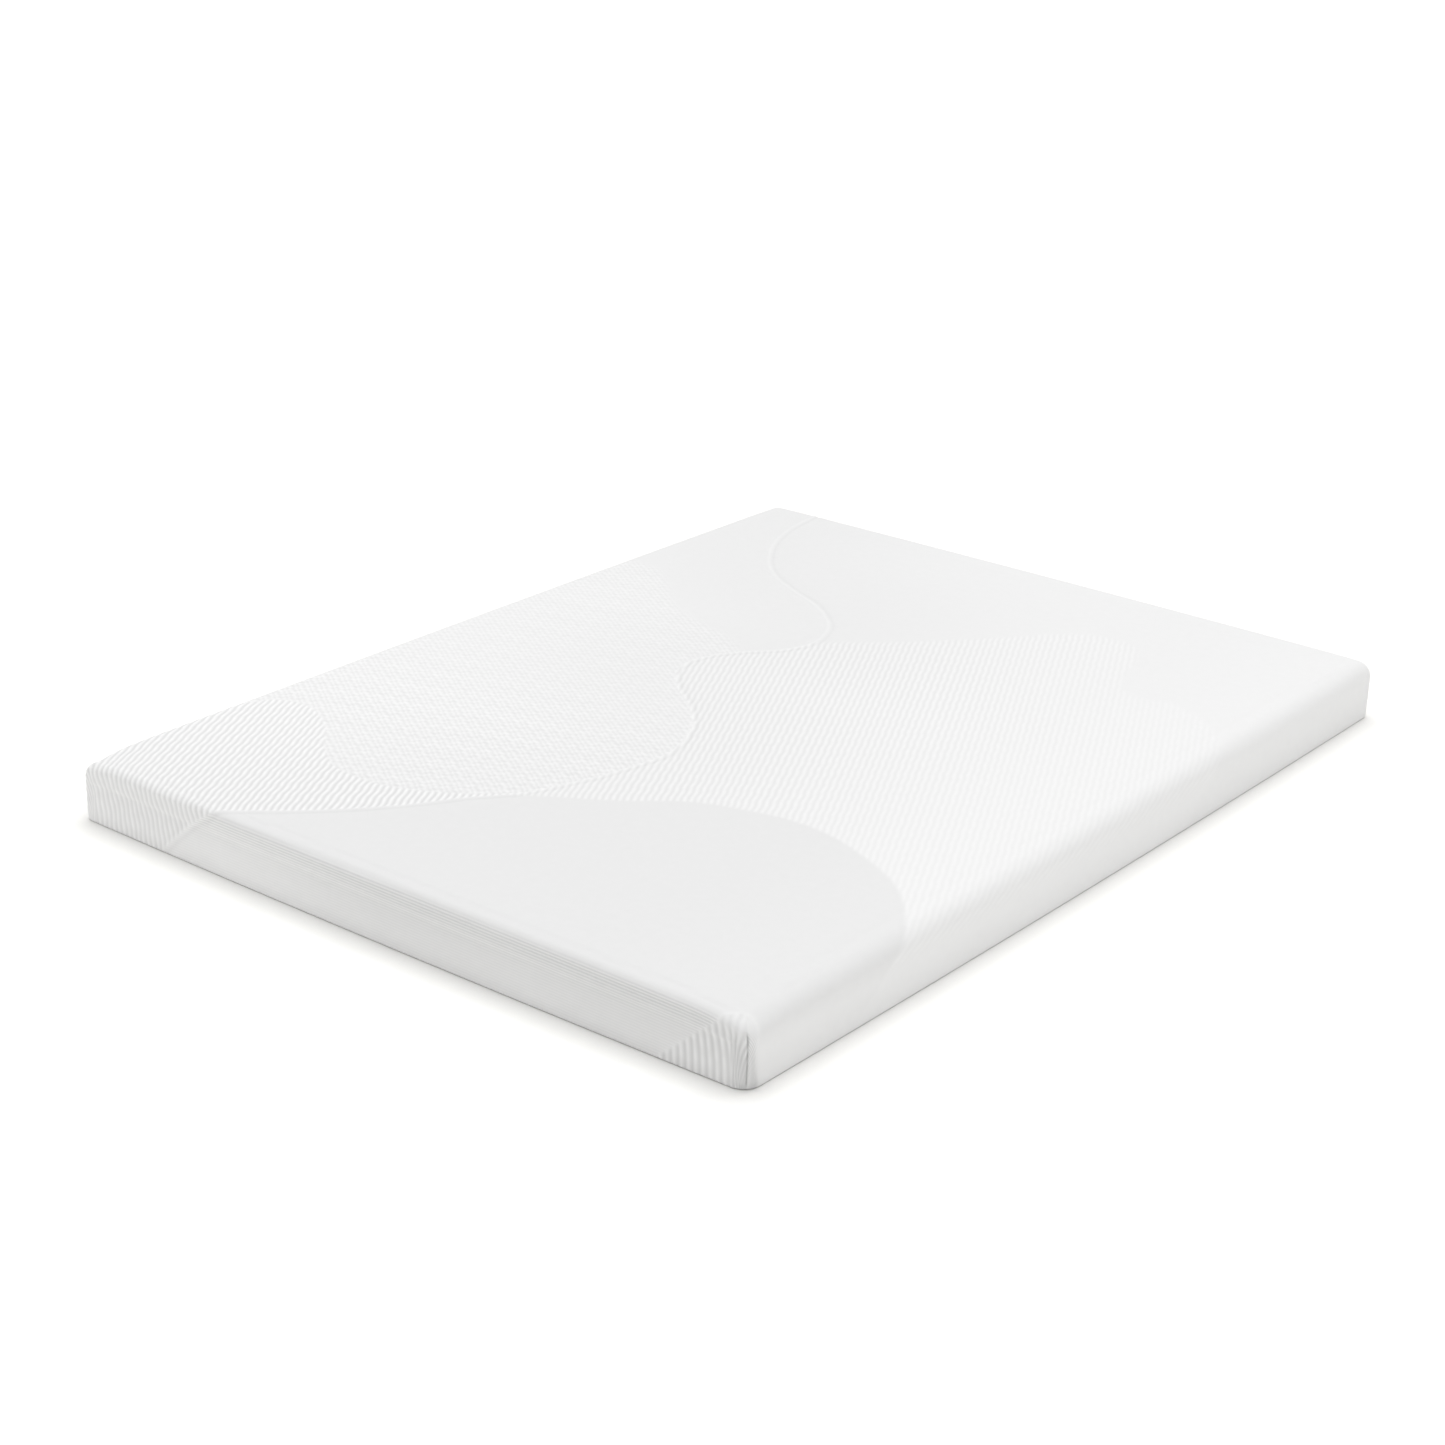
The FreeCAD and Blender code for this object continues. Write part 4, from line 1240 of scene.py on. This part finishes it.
FLOOR_WHITE = (1.09, 1.085, 1.065)  # above 1, so that the open floor shows as white
WORLD_LEVELS = [(0.0, 0.95), (0.12, 0.75), (0.25, 0.42), (0.80, 0.42)]  # height, grey level
KEY_STRENGTH = 1.9
KEY_SOURCE = Vector((-0.08, 0.14, 0.985))  # where the light comes from
KEY_ANGLE = math.radians(60)  # wide, for soft shadows
CAMERA_PLACE = Vector((2.9881, -3.9394, 2.0959))
CAMERA_ANGLES = (38.093, 22.152, 1.463)  # yaw, pitch and roll in degrees
CAMERA_LENS = 70.41
SHADE_REACH = 0.09  # how far the soft contact shade spreads from the mattress
SHADE_DEEPEST = 0.80  # share of the floor's white that is left at the contact line


def make_floor():
    half, low = 60.0, -0.0003
    points = [(-half, -half, low), (half, -half, low), (half, half, low), (-half, half, low)]
    floor = mesh_object("floor", points, [[[0, 1, 2, 3]]], smooth=False)
    m = Material("floor_paper", Roughness=0.9)
    m.surface.inputs["Specular IOR Level"].default_value = 0.0
    shade = m.add("ShaderNodeAmbientOcclusion", {"samples": 6}, Distance=SHADE_REACH)
    m.finish(color=m.ramp(shade.outputs["AO"], SHADE_DEEPEST, FLOOR_WHITE, 0.42, 1.0))
    floor.data.materials.append(m.data)


def make_world():
    """Grey light from all round, brighter near the horizon."""
    world = bpy.data.worlds.new("studio")
    bpy.context.scene.world = world
    nodes = Nodes(world)
    where = nodes.add("ShaderNodeTexCoord").outputs["Generated"]
    split = nodes.add("ShaderNodeSeparateXYZ", Vector=where)
    ramp = nodes.add("ShaderNodeValToRGB", Fac=split.outputs["Z"])
    background = nodes.add("ShaderNodeBackground", Color=ramp.outputs["Color"])
    nodes.add("ShaderNodeOutputWorld", Surface=background.outputs[0])
    stops = ramp.color_ramp.elements
    for place, _ in WORLD_LEVELS[2:]:
        stops.new(place)
    for stop, (place, level) in zip(stops, WORLD_LEVELS):
        stop.position = place
        stop.color = (level, level, level, 1)


def make_key_light():
    light = bpy.data.lights.new("key", "SUN")
    light.energy = KEY_STRENGTH
    light.angle = KEY_ANGLE
    lamp = bpy.data.objects.new("key", light)
    lamp.rotation_euler = KEY_SOURCE.to_track_quat("Z", "Y").to_euler()
    bpy.context.scene.collection.objects.link(lamp)


def make_camera():
    """The photograph's view, as fitted to the corners of the mattress."""
    yaw, pitch, roll = (math.radians(angle) for angle in CAMERA_ANGLES)
    level = math.cos(pitch)
    back = Vector((math.sin(yaw) * level, -math.cos(yaw) * level, math.sin(pitch)))
    right = Vector((math.cos(yaw), math.sin(yaw), 0))
    up = back.cross(right)
    across = right * math.cos(roll) + up * math.sin(roll)
    upward = up * math.cos(roll) - right * math.sin(roll)
    data = bpy.data.cameras.new("photo_camera")
    data.sensor_width = 36
    data.lens = CAMERA_LENS
    data.clip_end = 200
    camera = bpy.data.objects.new("photo_camera", data)
    turn = Matrix((across, upward, back)).transposed().to_4x4()
    camera.matrix_world = Matrix.Translation(CAMERA_PLACE) @ turn
    bpy.context.scene.collection.objects.link(camera)
    bpy.context.scene.camera = camera


make_floor()
make_world()
make_key_light()
make_camera()
bpy.context.scene.view_settings.view_transform = "Standard"
